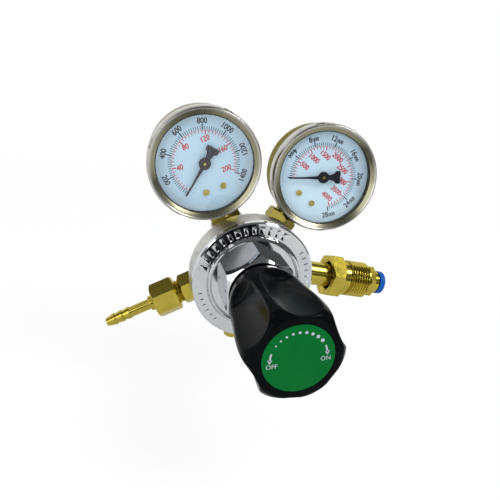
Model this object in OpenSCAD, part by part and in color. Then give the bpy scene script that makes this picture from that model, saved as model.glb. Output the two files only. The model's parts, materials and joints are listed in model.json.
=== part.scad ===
// Single-stage gas pressure regulator with two dial gauges.
// The origin is the tip of the inlet nipple. +Y runs from the knob towards the back
// of the body, +Z points up between the gauges and +X points towards the inlet.
//
// Most modules are drawn in the regulator's own frame, with the body axis along z,
// the knob at +z, the gauges at +y and z = 0 on the front face of the bonnet ring.
// place() turns that frame into the part's frame.

/* [Body] */
// Outer radius of the body's flange
flange_r = 35; // [33.5:0.25:37]
// Distance from the bonnet ring's face back to the rear of the flange
flange_back = 16.5; // [15.5:0.25:17]
// Radius of the drum behind the flange
drum_r = 24; // [22.5:0.25:26]
// Distance from the bonnet ring's face back to the rear of the drum
drum_back = 38; // [37:0.25:42]
// Distance from the bonnet ring's face back to the plane of the ports
port_back = 27; // [26.8:0.05:27.3]
// Radius of each round port boss
boss_r = 9.6; // [8.4:0.1:10.2]
// Distance from the body axis to the flat face of each port boss
boss_reach = 31; // [29:0.25:33]
// Radius of the threaded part of a port fitting
port_thread_r = 6.25; // [5.5:0.05:6.8]
// Length of the threaded part of a port fitting
port_thread_l = 10; // [7:0.25:11]
// Radius of the gas passages in the body
passage_r = 2; // [1.2:0.1:2.4]
// Direction of the inlet, degrees above +x
inlet_angle = -4; // [-12:0.5:4]
// Direction of the outlet, degrees
outlet_angle = 210; // [200:0.5:214]
// Direction of the relief valve, degrees
relief_angle = 270; // [262:0.5:280]
// Angle of each gauge stem from straight up, degrees
gauge_spread = 30; // [27.5:0.25:31]

/* [Diaphragm and valve] */
// Radius of the low-pressure chamber under the diaphragm
chamber_r = 24; // [21:0.25:25]
// Distance from the bonnet ring's face back to the diaphragm's seat
ledge_back = 11; // [10.6:0.1:11.4]
// Thickness of the rubber diaphragm
diaphragm_t = 1.6; // [1:0.1:2.2]
// Depth of the low-pressure chamber below the diaphragm's seat
chamber_deep = 5; // [4:0.1:5.2]
// Radius of the diaphragm plate
plate_r = 17; // [14.5:0.25:20]
// Thickness of the diaphragm plate
plate_t = 2.5; // [1.6:0.1:3]
// Travel of the valve from shut to fully open
valve_lift = 0.8; // [0.4:0.05:1]
// Radius of the nozzle's threaded body
nozzle_r = 4.5; // [3.8:0.1:5]
// Length of the nozzle's threaded body
nozzle_l = 7; // [6:0.1:7.6]
// Radius of the nozzle's gas hole
orifice_r = 1.3; // [1.1:0.05:1.6]
// Radius of the valve's push pin
pin_r = 0.8; // [0.5:0.05:0.9]
// Radius of the valve poppet
poppet_r = 4; // [3.4:0.1:4.6]
// Length of the valve poppet
poppet_l = 6; // [5:0.1:6.6]
// Radius of the high-pressure chamber
pressure_r = 6.5; // [5.6:0.1:7]
// Radius of the rear plug's threaded part
plug_r = 8; // [7.6:0.1:9.5]
// Length of the rear plug's threaded part
plug_thread_l = 4; // [3:0.1:4.6]
// Width across the flats of the rear plug's head
plug_af = 19; // [19:0.25:24]
// Height of the rear plug's head
plug_h = 6; // [5:0.25:9]

/* [Bonnet] */
// Thickness of the bonnet's ring
ring_t = 3.8; // [3.2:0.1:4.4]
// Bevel around the front edge of the bonnet's ring
ring_bevel = 0.8; // [0.3:0.1:1.4]
// Radius of the bonnet's spigot inside the body
spigot_r = 29.8; // [28.6:0.1:31.2]
// Inner radius of the raised rim on the ring
rim_r = 24.4; // [23.4:0.1:25]
// Width of the raised rim
rim_w = 2.4; // [1.4:0.1:3]
// Height of the raised rim above the ring
rim_h = 1.8; // [0.8:0.1:2.4]
// Depth of the recess inside the rim
recess_deep = 1.2; // [0.6:0.1:1.5]
// Width across the flats of the bonnet's hexagon
hex_af = 36.7; // [35.5:0.1:38]
// Height of the hexagon above the ring's face
hex_h = 15; // [14:0.25:15.2]
// Turn of the hexagon about the body axis, degrees
hex_turn = 8.7; // [0:0.1:30]
// Outer radius of the round neck inside the knob
neck_r = 13.9; // [13.7:0.05:14.3]
// Height of the neck above the ring's face
neck_h = 54; // [53:0.25:55.5]
// Turns of thread in the neck for the adjusting screw
neck_turns = 5; // [4:0.5:6]
// Radius of the bonnet's bore for the range spring
spring_bore_r = 12; // [11.8:0.1:12.3]
// Radius of the bonnet's vent hole
vent_r = 1; // [0.6:0.1:1.6]
// Height of the vent hole above the ring's face
vent_z = 8.9; // [6:0.1:10.5]

/* [Adjusting screw and range spring] */
// Radius of the adjusting screw
screw_r = 6; // [5:0.1:6.6]
// Feed of the adjusting screw in one turn
screw_pitch = 1.5; // [1:0.25:2]
// Distance from the ring's face to the screw's tip
screw_tip_z = 31.2; // [30.6:0.1:32]
// Radius of the steel ball under the screw
ball_r = 3; // [2.4:0.1:3.4]
// Radius of the spring button
button_r = 11.4; // [10.8:0.1:11.6]
// Thickness of the spring button's flange
button_t = 4; // [3:0.1:4.6]
// Mean radius of the range spring
range_coil_r = 9.4; // [8.8:0.1:9.8]
// Wire radius of the range spring
range_wire_r = 1.5; // [1.1:0.05:1.6]
// Turns of the range spring
range_turns = 6; // [4:0.5:6.5]

/* [Knob] */
// Distance from the ring's face to the knob's rear rim
knob_rear_z = 16.6; // [16.2:0.1:17]
// Distance from the ring's face to the knob's front face
knob_front_z = 77.6; // [75:0.2:82]
// Outer radius of the knob's rear rim
knob_rear_r = 17.6; // [17.2:0.1:18.4]
// Largest radius over the knob's lobes
knob_lobe_r = 24.2; // [23.6:0.1:25.4]
// Radius of the knob's front face
knob_face_r = 20.7; // [20:0.1:21.4]
// Number of lobes and finger flutes
knob_lobes = 6; // [5:1:7]
// Direction of the first lobe, degrees
knob_turn = 4; // [0:1:60]
// Depth of the finger flutes below the lobes
flute_cut = 4; // [3.2:0.1:4.4]
// Radius of the finger flutes at their front end
flute_front_r = 24; // [18:0.5:26]
// Radius of the finger flutes at their round rear end
flute_rear_r = 13; // [11:0.25:15]
// Slope of the bottom of the finger flutes towards the rear rim, degrees
flute_slope = 4.25; // [3:0.25:4.75]
// Length of the finger flutes to the centre of their round rear end
flute_l = 38; // [34:0.5:42]
// Radius of the cavity over the neck
knob_cavity_r = 14.9; // [14.6:0.05:15.2]
// Depth of the cavity over the neck
knob_cavity_deep = 40.5; // [39:0.25:42]
// Radius of the label disc
label_r = 16.5; // [13:0.25:18]
// Thickness of the label disc
label_t = 0.7; // [0.4:0.1:1.5]

/* [Inlet] */
// Distance from the body axis to the tip of the nipple
inlet_reach = 95.1; // [93:0.1:98]
// Outer radius of the inlet tube
tube_r = 7.5; // [7.2:0.05:7.8]
// Radius of the tube's gas bore
tube_bore_r = 3; // [2:0.1:4]
// Width across the flats of the nipple's collar
collar_af = 19; // [18:0.1:19.8]
// Length of the nipple's collar
collar_l = 4.6; // [4:0.1:6]
// Length of the nipple's nose in front of the collar
nose_l = 6.7; // [6:0.1:8]
// Radius of the nose
nose_r = 7; // [6.9:0.05:7.3]
// Radius of the nose's tip
nose_tip_r = 6.3; // [5.6:0.05:6.4]
// Length of the nose's tip
nose_tip_l = 2.5; // [2.2:0.1:3.4]
// Length of the inlet filter
filter_l = 13; // [8:0.5:20]
// Outer radius of the inlet nut's thread
inlet_thread_r = 11.47; // [11:0.01:12]
// Length of the inlet nut's thread
inlet_thread_l = 13.9; // [12:0.1:16]
// Length of the groove behind the inlet nut's thread
groove_l = 3.2; // [2:0.1:4.4]
// Width across the flats of the inlet nut
inlet_af = 25.4; // [24.6:0.1:27]
// Length of the inlet nut's hexagon
inlet_hex_l = 10.9; // [10:0.1:13]
// Radius of the loose bore at the back of the inlet nut
loose_bore_r = 8.7; // [8.2:0.1:9.6]
// Length of the close bore at the front of the inlet nut
close_bore_l = 13; // [8:0.25:16]
// Outer radius of the blue nose cap
cap_r = 7.4; // [7.1:0.05:8]
// Thickness of the cap's end
cap_end_t = 1.5; // [1:0.1:2.5]

/* [Outlet] */
// Distance from the body axis to the tip of the hose barb
outlet_reach = 89; // [86:0.25:92]
// Width across the flats of the outlet adapter
adapter_af = 16; // [14.5:0.1:17]
// Length of the adapter's hexagon
adapter_hex_l = 9.5; // [8:0.1:10]
// Radius of the outlet thread
outlet_thread_r = 7.1; // [6.6:0.05:7.4]
// Length of the outlet thread
outlet_thread_l = 13; // [11:0.25:14]
// Radius of the outlet's gas bore
outlet_bore_r = 1.9; // [1.2:0.1:2]
// Width across the flats of the outlet nut
outlet_af = 17.5; // [17:0.1:19]
// Length of the outlet nut
outlet_nut_l = 14.7; // [14:0.1:17]
// Gap between the adapter's hexagon and the outlet nut
outlet_gap = 2.9; // [1.5:0.1:4]
// Thickness of the outlet nut's end wall
nut_wall = 1.8; // [1.2:0.1:2.6]
// Radius of the barb's collar
barb_collar_r = 4.6; // [4:0.05:5]
// Length of the barb's collar outside the nut
barb_collar_l = 3.1; // [1.5:0.1:4.5]
// Radius of the plain shank
shank_r = 3.15; // [2.8:0.05:3.3]
// Radius over the barbs
barb_r = 3.75; // [3.5:0.05:4]
// Number of barbs
barbs = 3; // [2:1:4]
// Distance from one barb to the next
barb_pitch = 4.5; // [3.5:0.1:5]

/* [Relief valve] */
// Width across the flats of the relief valve's body
relief_af = 12; // [10.5:0.1:13]
// Length of the relief valve's hexagon
relief_hex_l = 6; // [4:0.1:7]
// Radius of the relief valve's thread
relief_thread_r = 4.5; // [4:0.1:5]
// Length of the relief valve's thread
relief_thread_l = 7; // [5:0.5:8]
// Radius of the relief valve's bore
relief_bore_r = 2.7; // [2.5:0.05:2.9]
// Radius of the relief valve's cap
relief_cap_r = 4.6; // [4.4:0.05:5.2]
// Distance from the body axis to the end of the relief valve's cap
relief_reach = 50; // [48:0.25:53]
// Travel of the relief valve's poppet
relief_lift = 1.5; // [0.5:0.1:2]

/* [Gauges] */
// Clearance between the body's flange and each bezel
gauge_gap = 4.1; // [3.6:0.1:5.6]
// Thickness of the bezel's skirt round the case
bezel_skirt = 1; // [0.8:0.05:1.6]
// Width of the bezel's front, inwards from the outside of the case
bezel_lip = 3; // [2.6:0.1:4.2]
// Depth of the bezel from front to back
bezel_deep = 9; // [7:0.1:10]
// Distance from the stem's axis forward to the front of the bezel
bezel_front = 18.6; // [18.4:0.05:18.9]
// Distance from the stem's axis back to the back of the case
case_back = 9.4; // [9:0.1:11]
// Outer radius of the case
case_r = 29.2; // [26:0.1:33]
// Wall of the case
case_wall = 1; // [0.7:0.05:1.3]
// Radius of the rounded back edge of the case
case_edge_r = 3.5; // [1.5:0.1:5]
// Thickness of the glass
lens_t = 1.4; // [1:0.1:1.7]
// Distance from the front of the bezel to the glass
lens_sunk = 2.6; // [2.4:0.1:3]
// Gap between the dial's edge and the case's wall
dial_gap = 1.4; // [0.6:0.1:2]
// Distance from the front of the bezel to the dial's face
dial_sunk = 7.2; // [7:0.1:7.6]
// Thickness of the dial plate
dial_t = 0.5; // [0.3:0.05:0.8]
// Distance of the dial screws from the dial's upright centre line
dial_screw_x = 5; // [4:0.1:5.6]
// Distance of the dial screws below the dial's centre
dial_screw_y = 15.4; // [15:0.1:16]
// Radius of the dial screws' thread
dial_screw_r = 1; // [0.7:0.05:1.2]
// Radius of the dial screws' heads
dial_screw_head_r = 1.7; // [1.5:0.05:2]
// Length of the pointer from its axis to its tip
pointer_l = 20.7; // [17:0.1:23]
// Length of the pointer's tail
tail_l = 9.9; // [6:0.1:12]
// Radius of the pointer's hub
hub_r = 3.3; // [2.4:0.1:4]
// Angle between zero and straight up on the dial, degrees
zero_angle = 129; // [120:1:135]
// Turn of the low-pressure gauge about its stem, degrees
low_twist = -1.7; // [-10:0.1:10]
// Turn of the high-pressure gauge about its stem, degrees
high_twist = -6.6; // [-10:0.1:10]
// Direction of the first bezel notch, degrees
notch_turn = 46; // [0:1:90]
// Width across the flats of the stem
stem_af = 17; // [15:0.1:17]
// Radius of the stem where it passes through the case
stem_r = 6.4; // [5.5:0.05:7.5]

/* [Gauge movement] */
// Gear module of the movement
gear_module = 0.3; // [0.28:0.01:0.31]
// Teeth on the pointer's pinion
pinion_teeth = 10; // [9:1:11]
// Teeth that a full circle of the sector gear would have
sector_teeth = 80; // [76:1:80]
// Teeth cut on the sector gear
sector_cut = 12; // [12:1:14]
// Direction of the sector's pivot from the dial's centre, degrees
sector_angle = 215; // [205:1:220]
// Radius of the pointer's arbor and the sector's arbor
arbor_r = 0.8; // [0.6:0.05:1]
// Gap between the Bourdon tube and the case's wall
bourdon_gap = 8; // [6.5:0.1:8.5]
// Wall-to-wall thickness of the flattened Bourdon tube
bourdon_t = 2.4; // [1.6:0.1:2.8]
// Width of the flattened Bourdon tube
bourdon_w = 6; // [4:0.1:6.6]

/* [Fits] */
// Radial clearance of a screwed or pressed joint
seat_gap = 0.05; // [0.03:0.01:0.08]
// Radial clearance of a turning or sliding joint
run_gap = 0.07; // [0.04:0.01:0.1]
// Clearance along the axis beside a moving piece
side_gap = 0.1; // [0.05:0.05:0.2]

/* [Hidden] */
$fn = 64;

// colours
brass = [0.72, 0.62, 0.20];
chrome = [0.82, 0.83, 0.85];
nickel = [0.74, 0.74, 0.70];
steel = [0.60, 0.61, 0.63];
rubber = [0.08, 0.08, 0.08];
black = [0.04, 0.04, 0.045];
dial_blue = [0.74, 0.86, 0.93];
gold = [0.62, 0.56, 0.30];

bezel_gap = 0.2;
bezel_r = case_r + bezel_gap + bezel_skirt;
window_r = case_r - bezel_lip;
case_bore_r = case_r - case_wall;
dial_r = case_bore_r - dial_gap;
bourdon_r = case_bore_r - bourdon_gap - bourdon_t / 2;
gauge_reach = flange_r + gauge_gap + bezel_r;
low_angle = 90 + gauge_spread;
high_angle = 90 - gauge_spread;
gauge_angles = [high_angle, low_angle];

// heights along the body axis, worked from the diaphragm outwards
diaphragm_top = -ledge_back + diaphragm_t;
chamber_floor = -ledge_back - chamber_deep;
plate_top = diaphragm_top + plate_t;
plate_spigot_h = 3;
nozzle_head_h = 1.8;
pad_t = chamber_deep - nozzle_head_h - valve_lift - 0.4;
pad_bottom = -ledge_back - pad_t;
seat_z = chamber_floor - nozzle_l;
poppet_back = seat_z - side_gap - poppet_l;
plug_floor = -drum_back - 1;
button_z = screw_tip_z - ball_r * 2 - button_t - 1.2;
ball_z = screw_tip_z - ball_r - side_gap / 2;
neck_thread_l = neck_turns * screw_pitch;
knob_web_z = knob_rear_z + knob_cavity_deep;
screw_head_h = 12;
screw_head_af = screw_r * 2;
ring_face_inner = rim_r + rim_w;

// distances along the inlet
collar_z = inlet_reach - nose_l - collar_l;
nut_front = collar_z - side_gap;
nut_thread_back = nut_front - inlet_thread_l;
nut_hex_front = nut_thread_back - groove_l;
nut_back = nut_hex_front - inlet_hex_l;
cap_back = inlet_reach - nose_tip_l + side_gap;

// distances along the outlet
adapter_hex_back = boss_reach + 0.4;
adapter_hex_front = adapter_hex_back + adapter_hex_l;
outlet_nut_back = adapter_hex_front + outlet_gap;
outlet_nut_front = outlet_nut_back + outlet_nut_l;
adapter_tip = adapter_hex_front + outlet_thread_l;
barb_head_front = outlet_nut_front - nut_wall - side_gap;
barb_collar_front = outlet_nut_front + barb_collar_l;
barb_head_r = outlet_thread_r - 1.6;
first_ridge = outlet_reach - 5.7;

// distances along the relief valve
relief_hex_front = boss_reach + 0.3 + relief_hex_l;
relief_seat = boss_reach + 2;
relief_cap_t = 1.4;
relief_port_r = 1.2;
relief_poppet_l = relief_reach - relief_cap_t - relief_seat - relief_lift - 1;
relief_cap_back = relief_hex_front + 1;

// distances along a gauge's depth, with 0 on the stem's axis
lens_front = bezel_front - lens_sunk;
lens_back = lens_front - lens_t;
gasket_t = 1.1;
case_front = lens_back - gasket_t - seat_gap;
dial_front = bezel_front - dial_sunk;
dial_back = dial_front - dial_t;
pointer_back = dial_front + 1.8;
pointer_t = 0.5;
hub_h = 1.1;
block_top = 1;
block_back = case_back - case_wall - side_gap;
block_gap = 5.2;
block_y = [block_gap - case_bore_r, -11];
block_w = 15;
plate_thick = 1;
sector_z = 4;
sector_t = 1.8;
top_plate_z = 8;
stem_hex_l = 7.4;
stem_hex_y = -(gauge_reach - boss_reach - 0.3);
pinion_pitch_r = gear_module * pinion_teeth / 2;
sector_pitch_r = gear_module * sector_teeth / 2;
sector_x = pinion_pitch_r + sector_pitch_r;
tail_reach = 6;
root_angle = -acos((block_w / 2 + side_gap * 3) / (bourdon_r - bourdon_t / 2));
tip_angle = 178;
bourdon_z = -2.5;
tail_deep = 3;
link_pin_r = 0.5;

// ---- frames -------------------------------------------------------------

// From the regulator's own frame to the part's frame, with the nipple's tip at the origin.
module place() {
    rotate([90, 0, 0])
        translate([-inlet_reach * cos(inlet_angle), -inlet_reach * sin(inlet_angle), port_back])
            children();
}

// A frame on a port: z runs outwards along the port from the body axis.
module at_port(angle) {
    place() translate([0, 0, -port_back]) rotate([0, 0, angle]) rotate([0, 90, 0]) children();
}

// A frame on a gauge: the dial's centre over the stem's axis, y up and z out of the glass.
module at_gauge(angle, twist) {
    place() translate([0, 0, -port_back]) rotate([0, 0, angle - 90]) rotate([0, twist, 0])
        translate([0, gauge_reach, 0]) children();
}

// ---- shared shapes --------------------------------------------------------

// A hexagonal prism on z = 0 with its corners turned off at the back and front. "turned"
// makes the cone at the back longer.
module hex_bar(af, h, back = true, front = true, turned = 0) {
    corner_r = af / sqrt(3);
    cut = (corner_r - af / 2) * 0.58;
    trim = 0.97 * af / 2;
    intersection() {
        cylinder(r = corner_r, h = h, $fn = 6);
        rotate_extrude()
            polygon([[0, 0], [back ? trim - turned * 0.15 : corner_r + 1, 0],
                     [corner_r + 0.02, back ? cut * 1.6 + turned : 0.01],
                     [corner_r + 0.02, front ? h - cut * 1.6 : h - 0.01],
                     [front ? trim : corner_r + 1, h], [0, h]]);
    }
}

// A round bar on z = 0 with a bevel at its far end.
module bevel_bar(r, h, bevel) {
    cylinder(r = r, h = h - bevel);
    translate([0, 0, h - bevel]) cylinder(r1 = r, r2 = r - bevel, h = bevel);
}

// A coil spring from z = 0 to z = length, as one unbroken tube of six sides.
module coil(r, wire_r, length, turns) {
    rings = round(turns * 16);
    pitch = (length - 2 * wire_r) / turns;
    lead = atan(pitch / (2 * PI * r));
    echo(coil_gap = pitch * cos(lead) - 2 * wire_r);
    points = [for (i = [0:rings], k = [0:5])
        let (t = 360 * turns * i / rings, a = 60 * k,
             out = r + wire_r * cos(a), up = wire_r * sin(a))
        [out * cos(t) + up * sin(lead) * sin(t),
         out * sin(t) - up * sin(lead) * cos(t),
         wire_r + pitch * turns * i / rings + up * cos(lead)]];
    sides = [for (i = [0:rings - 1], k = [0:5])
        let (a = 6 * i + k, b = 6 * i + (k + 1) % 6)
        each [[a, b, b + 6], [a, b + 6, a + 6]]];
    ends = [for (k = [1:4]) each [[0, k + 1, k], [6 * rings, 6 * rings + k, 6 * rings + k + 1]]];
    polyhedron(points, concat(sides, ends));
}

// ---- body and diaphragm -----------------------------------------------------

module port_hole(angle, reach) {
    translate([0, 0, -port_back]) rotate([0, 0, angle]) rotate([0, 90, 0]) {
        translate([0, 0, boss_reach - port_thread_l - 0.5])
            cylinder(r = port_thread_r + seat_gap, h = port_thread_l + 2);
        translate([0, 0, reach]) cylinder(r = passage_r, h = boss_reach - reach - 2);
    }
}

module regulator_body() {
    passage_x = chamber_r - passage_r - 4;
    color(nickel) place() difference() {
        union() {
            translate([0, 0, -flange_back]) bevel_bar(flange_r, flange_back - ring_t - 0.1, 0.5);
            translate([0, 0, -drum_back]) cylinder(r = drum_r, h = drum_back - flange_back + 1);
            for (a = concat(gauge_angles, [inlet_angle, outlet_angle, relief_angle]))
                translate([0, 0, -port_back]) rotate([0, 0, a]) rotate([0, 90, 0])
                    cylinder(r = boss_r, h = boss_reach);
        }
        // diaphragm seat, low-pressure chamber, nozzle thread and high-pressure chamber
        translate([0, 0, -ledge_back]) cylinder(r = spigot_r + seat_gap, h = ledge_back);
        translate([0, 0, chamber_floor]) cylinder(r = chamber_r, h = chamber_deep + 1);
        translate([0, 0, seat_z - 1]) cylinder(r = nozzle_r + seat_gap, h = nozzle_l + 2);
        translate([0, 0, -drum_back - 1]) cylinder(r = pressure_r, h = drum_back + 1 + seat_z);
        translate([0, 0, -drum_back - 1]) cylinder(r = plug_r + seat_gap, h = plug_thread_l + 1.2);
        // inlet and high-pressure gauge open into the high-pressure chamber
        port_hole(inlet_angle, 1);
        port_hole(high_angle, 1);
        // the other ports open into the low-pressure chamber
        for (a = [low_angle, outlet_angle]) {
            port_hole(a, passage_x);
            rotate([0, 0, a]) translate([passage_x, 0, -port_back])
                cylinder(r = passage_r, h = port_back + chamber_floor + 1);
        }
        translate([0, 0, -port_back]) rotate([0, 0, relief_angle]) rotate([0, 90, 0]) {
            translate([0, 0, boss_reach - port_thread_l])
                cylinder(r = relief_thread_r + seat_gap, h = port_thread_l + 1);
            translate([0, 0, passage_x]) cylinder(r = passage_r, h = boss_reach - passage_x - 2);
        }
        rotate([0, 0, relief_angle]) translate([passage_x, 0, -port_back])
            cylinder(r = passage_r, h = port_back + chamber_floor + 1);
    }
}

module rear_plug() {
    color(brass) place() translate([0, 0, -drum_back]) difference() {
        union() {
            cylinder(r = plug_r, h = plug_thread_l);
            translate([0, 0, -plug_h]) hex_bar(plug_af, plug_h, back = true, front = false);
        }
        translate([0, 0, -1]) cylinder(r = poppet_r + 0.2, h = plug_thread_l + 2);
    }
}

module diaphragm() {
    color(rubber) place() translate([0, 0, -ledge_back]) difference() {
        cylinder(r = spigot_r - 0.2, h = diaphragm_t);
        translate([0, 0, -1]) cylinder(r = 2.5 + seat_gap, h = diaphragm_t + 2);
    }
}

module diaphragm_plate() {
    color(steel) place() {
        translate([0, 0, diaphragm_top]) cylinder(r = plate_r, h = plate_t);
        translate([0, 0, plate_top - 0.5])
            bevel_bar(range_coil_r - range_wire_r - 0.4, plate_spigot_h + 0.5, 1);
        translate([0, 0, -ledge_back - 0.5]) cylinder(r = 2.5, h = diaphragm_t + 1);
        translate([0, 0, pad_bottom]) cylinder(r = 6, h = pad_t);
    }
}

module nozzle() {
    color(brass) place() difference() {
        union() {
            translate([0, 0, seat_z]) cylinder(r = nozzle_r, h = nozzle_l + 0.5);
            translate([0, 0, chamber_floor]) hex_bar(2 * nozzle_r + 1.4, nozzle_head_h);
        }
        translate([0, 0, seat_z - 1]) cylinder(r = orifice_r, h = nozzle_l + nozzle_head_h + 2);
    }
}

module valve_poppet() {
    color(brass) place() {
        translate([0, 0, poppet_back]) cylinder(r = poppet_r, h = poppet_l);
        translate([0, 0, poppet_back - 2]) cylinder(r = poppet_r / 2 - 0.2, h = 3);
        translate([0, 0, poppet_back + poppet_l - 1])
            cylinder(r = pin_r, h = pad_bottom - side_gap / 2 - poppet_back - poppet_l + 1);
    }
}

module valve_spring() {
    length = poppet_back - plug_floor - side_gap;
    wire_r = 0.45;
    color(steel) place() translate([0, 0, plug_floor + side_gap / 2])
        coil(poppet_r - wire_r - 0.3, wire_r, length, 4);
}

// ---- bonnet, screw and range spring -------------------------------------------

module bonnet() {
    cove_r = hex_af / 2 + 2;
    web = 1.9;
    color(chrome) place() difference() {
        union() {
            rotate_extrude($fn = 96) polygon([
                [0, -ring_t], [flange_r, -ring_t], [flange_r, -ring_bevel],
                [flange_r - ring_bevel, 0], [ring_face_inner + 0.5, 0],
                [ring_face_inner, rim_h * 0.5], [ring_face_inner - 0.5, rim_h * 0.9],
                [rim_r + rim_w / 2, rim_h], [rim_r + 0.4, rim_h * 0.8],
                [rim_r, 0], [rim_r - 1.2, -recess_deep * 0.8], [cove_r, -recess_deep],
                [0, -recess_deep]]);
            translate([0, 0, diaphragm_top]) cylinder(r = spigot_r, h = -diaphragm_top);
            translate([0, 0, -recess_deep]) rotate([0, 0, hex_turn + 30])
                hex_bar(hex_af, hex_h + recess_deep, back = false);
            bevel_bar(neck_r, neck_h, 0.8);
        }
        // diaphragm dome, spring bore, screw thread and vent
        translate([0, 0, diaphragm_top - 1])
            cylinder(r = chamber_r + 1, h = -diaphragm_top + 1 - recess_deep - web - 1.4);
        translate([0, 0, -recess_deep - web - 1.5])
            cylinder(r1 = chamber_r + 1, r2 = chamber_r - 1, h = 1.5);
        translate([0, 0, -ring_t]) cylinder(r = spring_bore_r, h = ring_t + neck_h - neck_thread_l);
        cylinder(r = screw_r + run_gap, h = neck_h + 1);
        rotate([0, 0, hex_turn + 180]) translate([spring_bore_r - 2, 0, vent_z])
            rotate([0, 90, 0]) cylinder(r = vent_r, h = hex_af, $fn = 24);
    }
}

module range_spring() {
    bottom = plate_top + side_gap / 2;
    color(steel) place() translate([0, 0, bottom])
        coil(range_coil_r, range_wire_r, button_z - side_gap / 2 - bottom, range_turns);
}

module spring_button() {
    color(steel) place() difference() {
        union() {
            translate([0, 0, button_z - 3])
                cylinder(r = range_coil_r - range_wire_r - 0.4, h = 3.5);
            translate([0, 0, button_z]) cylinder(r = button_r, h = button_t);
            translate([0, 0, button_z + button_t - 0.5]) cylinder(r = ball_r + 2.4, h = 2);
        }
        translate([0, 0, ball_z]) sphere(r = ball_r + seat_gap);
    }
}

module button_ball() {
    color(steel) place() translate([0, 0, ball_z]) sphere(r = ball_r);
}

module adjusting_screw() {
    color(steel) place() {
        translate([0, 0, screw_tip_z]) cylinder(r = screw_r, h = knob_web_z - screw_tip_z + 1);
        translate([0, 0, knob_web_z]) cylinder(d = screw_head_af / cos(30), h = screw_head_h, $fn = 6);
    }
}

module knob() {
    front = knob_front_z;
    side = knob_front_z - knob_rear_z;
    grow = knob_lobe_r - knob_rear_r;
    open = atan((flute_front_r - flute_rear_r) / flute_l);
    reach = flute_l * 1.4;
    flute_x = knob_lobe_r - flute_cut - flute_l * tan(flute_slope) + flute_rear_r;
    color(black) place() difference() {
        rotate_extrude($fn = 96) polygon([
            [0, knob_rear_z], [knob_rear_r - 0.8, knob_rear_z], [knob_rear_r, knob_rear_z + 0.8],
            [knob_rear_r + grow * 0.46, knob_rear_z + side * 0.213],
            [knob_rear_r + grow * 0.68, knob_rear_z + side * 0.459],
            [knob_rear_r + grow * 0.93, front - side * 0.311], [knob_lobe_r, front - side * 0.164],
            [knob_lobe_r - 0.4, front - 5.3], [knob_lobe_r - 1.2, front - 3.1],
            [knob_lobe_r - 2.4, front - 1.6], [knob_face_r, front - 0.4],
            [knob_face_r - 1.2, front], [0, front]]);
        // finger flutes, round at the rear and opening out towards the front
        for (i = [0:knob_lobes - 1]) rotate([0, 0, knob_turn + 360 * (i + 0.5) / knob_lobes])
            translate([flute_x, 0, front - 3.6 - flute_l]) rotate([0, flute_slope + open, 0]) {
                sphere(r = flute_rear_r);
                cylinder(r1 = flute_rear_r / cos(open), r2 = flute_rear_r / cos(open) + reach * tan(open),
                         h = reach);
            }
        translate([0, 0, knob_rear_z - 1]) cylinder(r = knob_cavity_r, h = knob_cavity_deep + 1);
        translate([0, 0, knob_web_z - 1])
            cylinder(d = (screw_head_af + 2 * seat_gap) / cos(30), h = screw_head_h + 1.1, $fn = 6);
        translate([0, 0, front - label_t + 0.1]) cylinder(r = label_r + seat_gap, h = label_t + 1);
    }
}

module knob_label() {
    color([0.0, 0.49, 0.22]) place() translate([0, 0, knob_front_z - label_t + 0.1])
        cylinder(r = label_r, h = label_t);
}

// ---- inlet -------------------------------------------------------------------

module inlet_nipple() {
    color(brass) at_port(inlet_angle) difference() {
        union() {
            translate([0, 0, boss_reach - port_thread_l]) cylinder(r = port_thread_r, h = port_thread_l + 1);
            translate([0, 0, boss_reach + 0.1]) cylinder(r = tube_r, h = collar_z - boss_reach);
            translate([0, 0, collar_z]) rotate([0, 0, 39]) hex_bar(collar_af, collar_l);
            translate([0, 0, collar_z + 1])
                bevel_bar(nose_r, collar_l - 1 + nose_l - nose_tip_l, 0.6);
            translate([0, 0, inlet_reach - nose_tip_l - 1]) bevel_bar(nose_tip_r, nose_tip_l + 1, 0.8);
        }
        translate([0, 0, boss_reach - port_thread_l - 1]) cylinder(r = tube_bore_r, h = inlet_reach);
    }
}

module inlet_filter() {
    color(gold) at_port(inlet_angle) translate([0, 0, inlet_reach - 2 - filter_l])
        bevel_bar(tube_bore_r - seat_gap, filter_l, 0.4);
}

module inlet_nut() {
    color(brass) at_port(inlet_angle) difference() {
        union() {
            translate([0, 0, nut_back]) rotate([0, 0, 39]) hex_bar(inlet_af, inlet_hex_l, turned = 3);
            translate([0, 0, nut_hex_front - 1]) cylinder(r = inlet_thread_r - 0.9, h = groove_l + 2);
            translate([0, 0, nut_thread_back]) bevel_bar(inlet_thread_r, inlet_thread_l, 1);
        }
        translate([0, 0, nut_back - 1]) cylinder(r = tube_r + run_gap, h = nut_front - nut_back + 2);
        translate([0, 0, nut_back - 1])
            cylinder(r = loose_bore_r, h = nut_front - close_bore_l - nut_back + 1);
        translate([0, 0, nut_back - 0.01])
            cylinder(r1 = loose_bore_r + 1.4, r2 = loose_bore_r, h = 1.4);
    }
}

module inlet_cap() {
    cap_front = inlet_reach + cap_end_t;
    color([0.05, 0.42, 0.78]) at_port(inlet_angle) difference() {
        translate([0, 0, cap_back]) bevel_bar(cap_r, cap_front - cap_back, 0.5);
        translate([0, 0, cap_back - 1])
            cylinder(r = nose_tip_r + run_gap, h = inlet_reach - cap_back + 1 + side_gap);
    }
}

// ---- outlet ------------------------------------------------------------------

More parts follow.
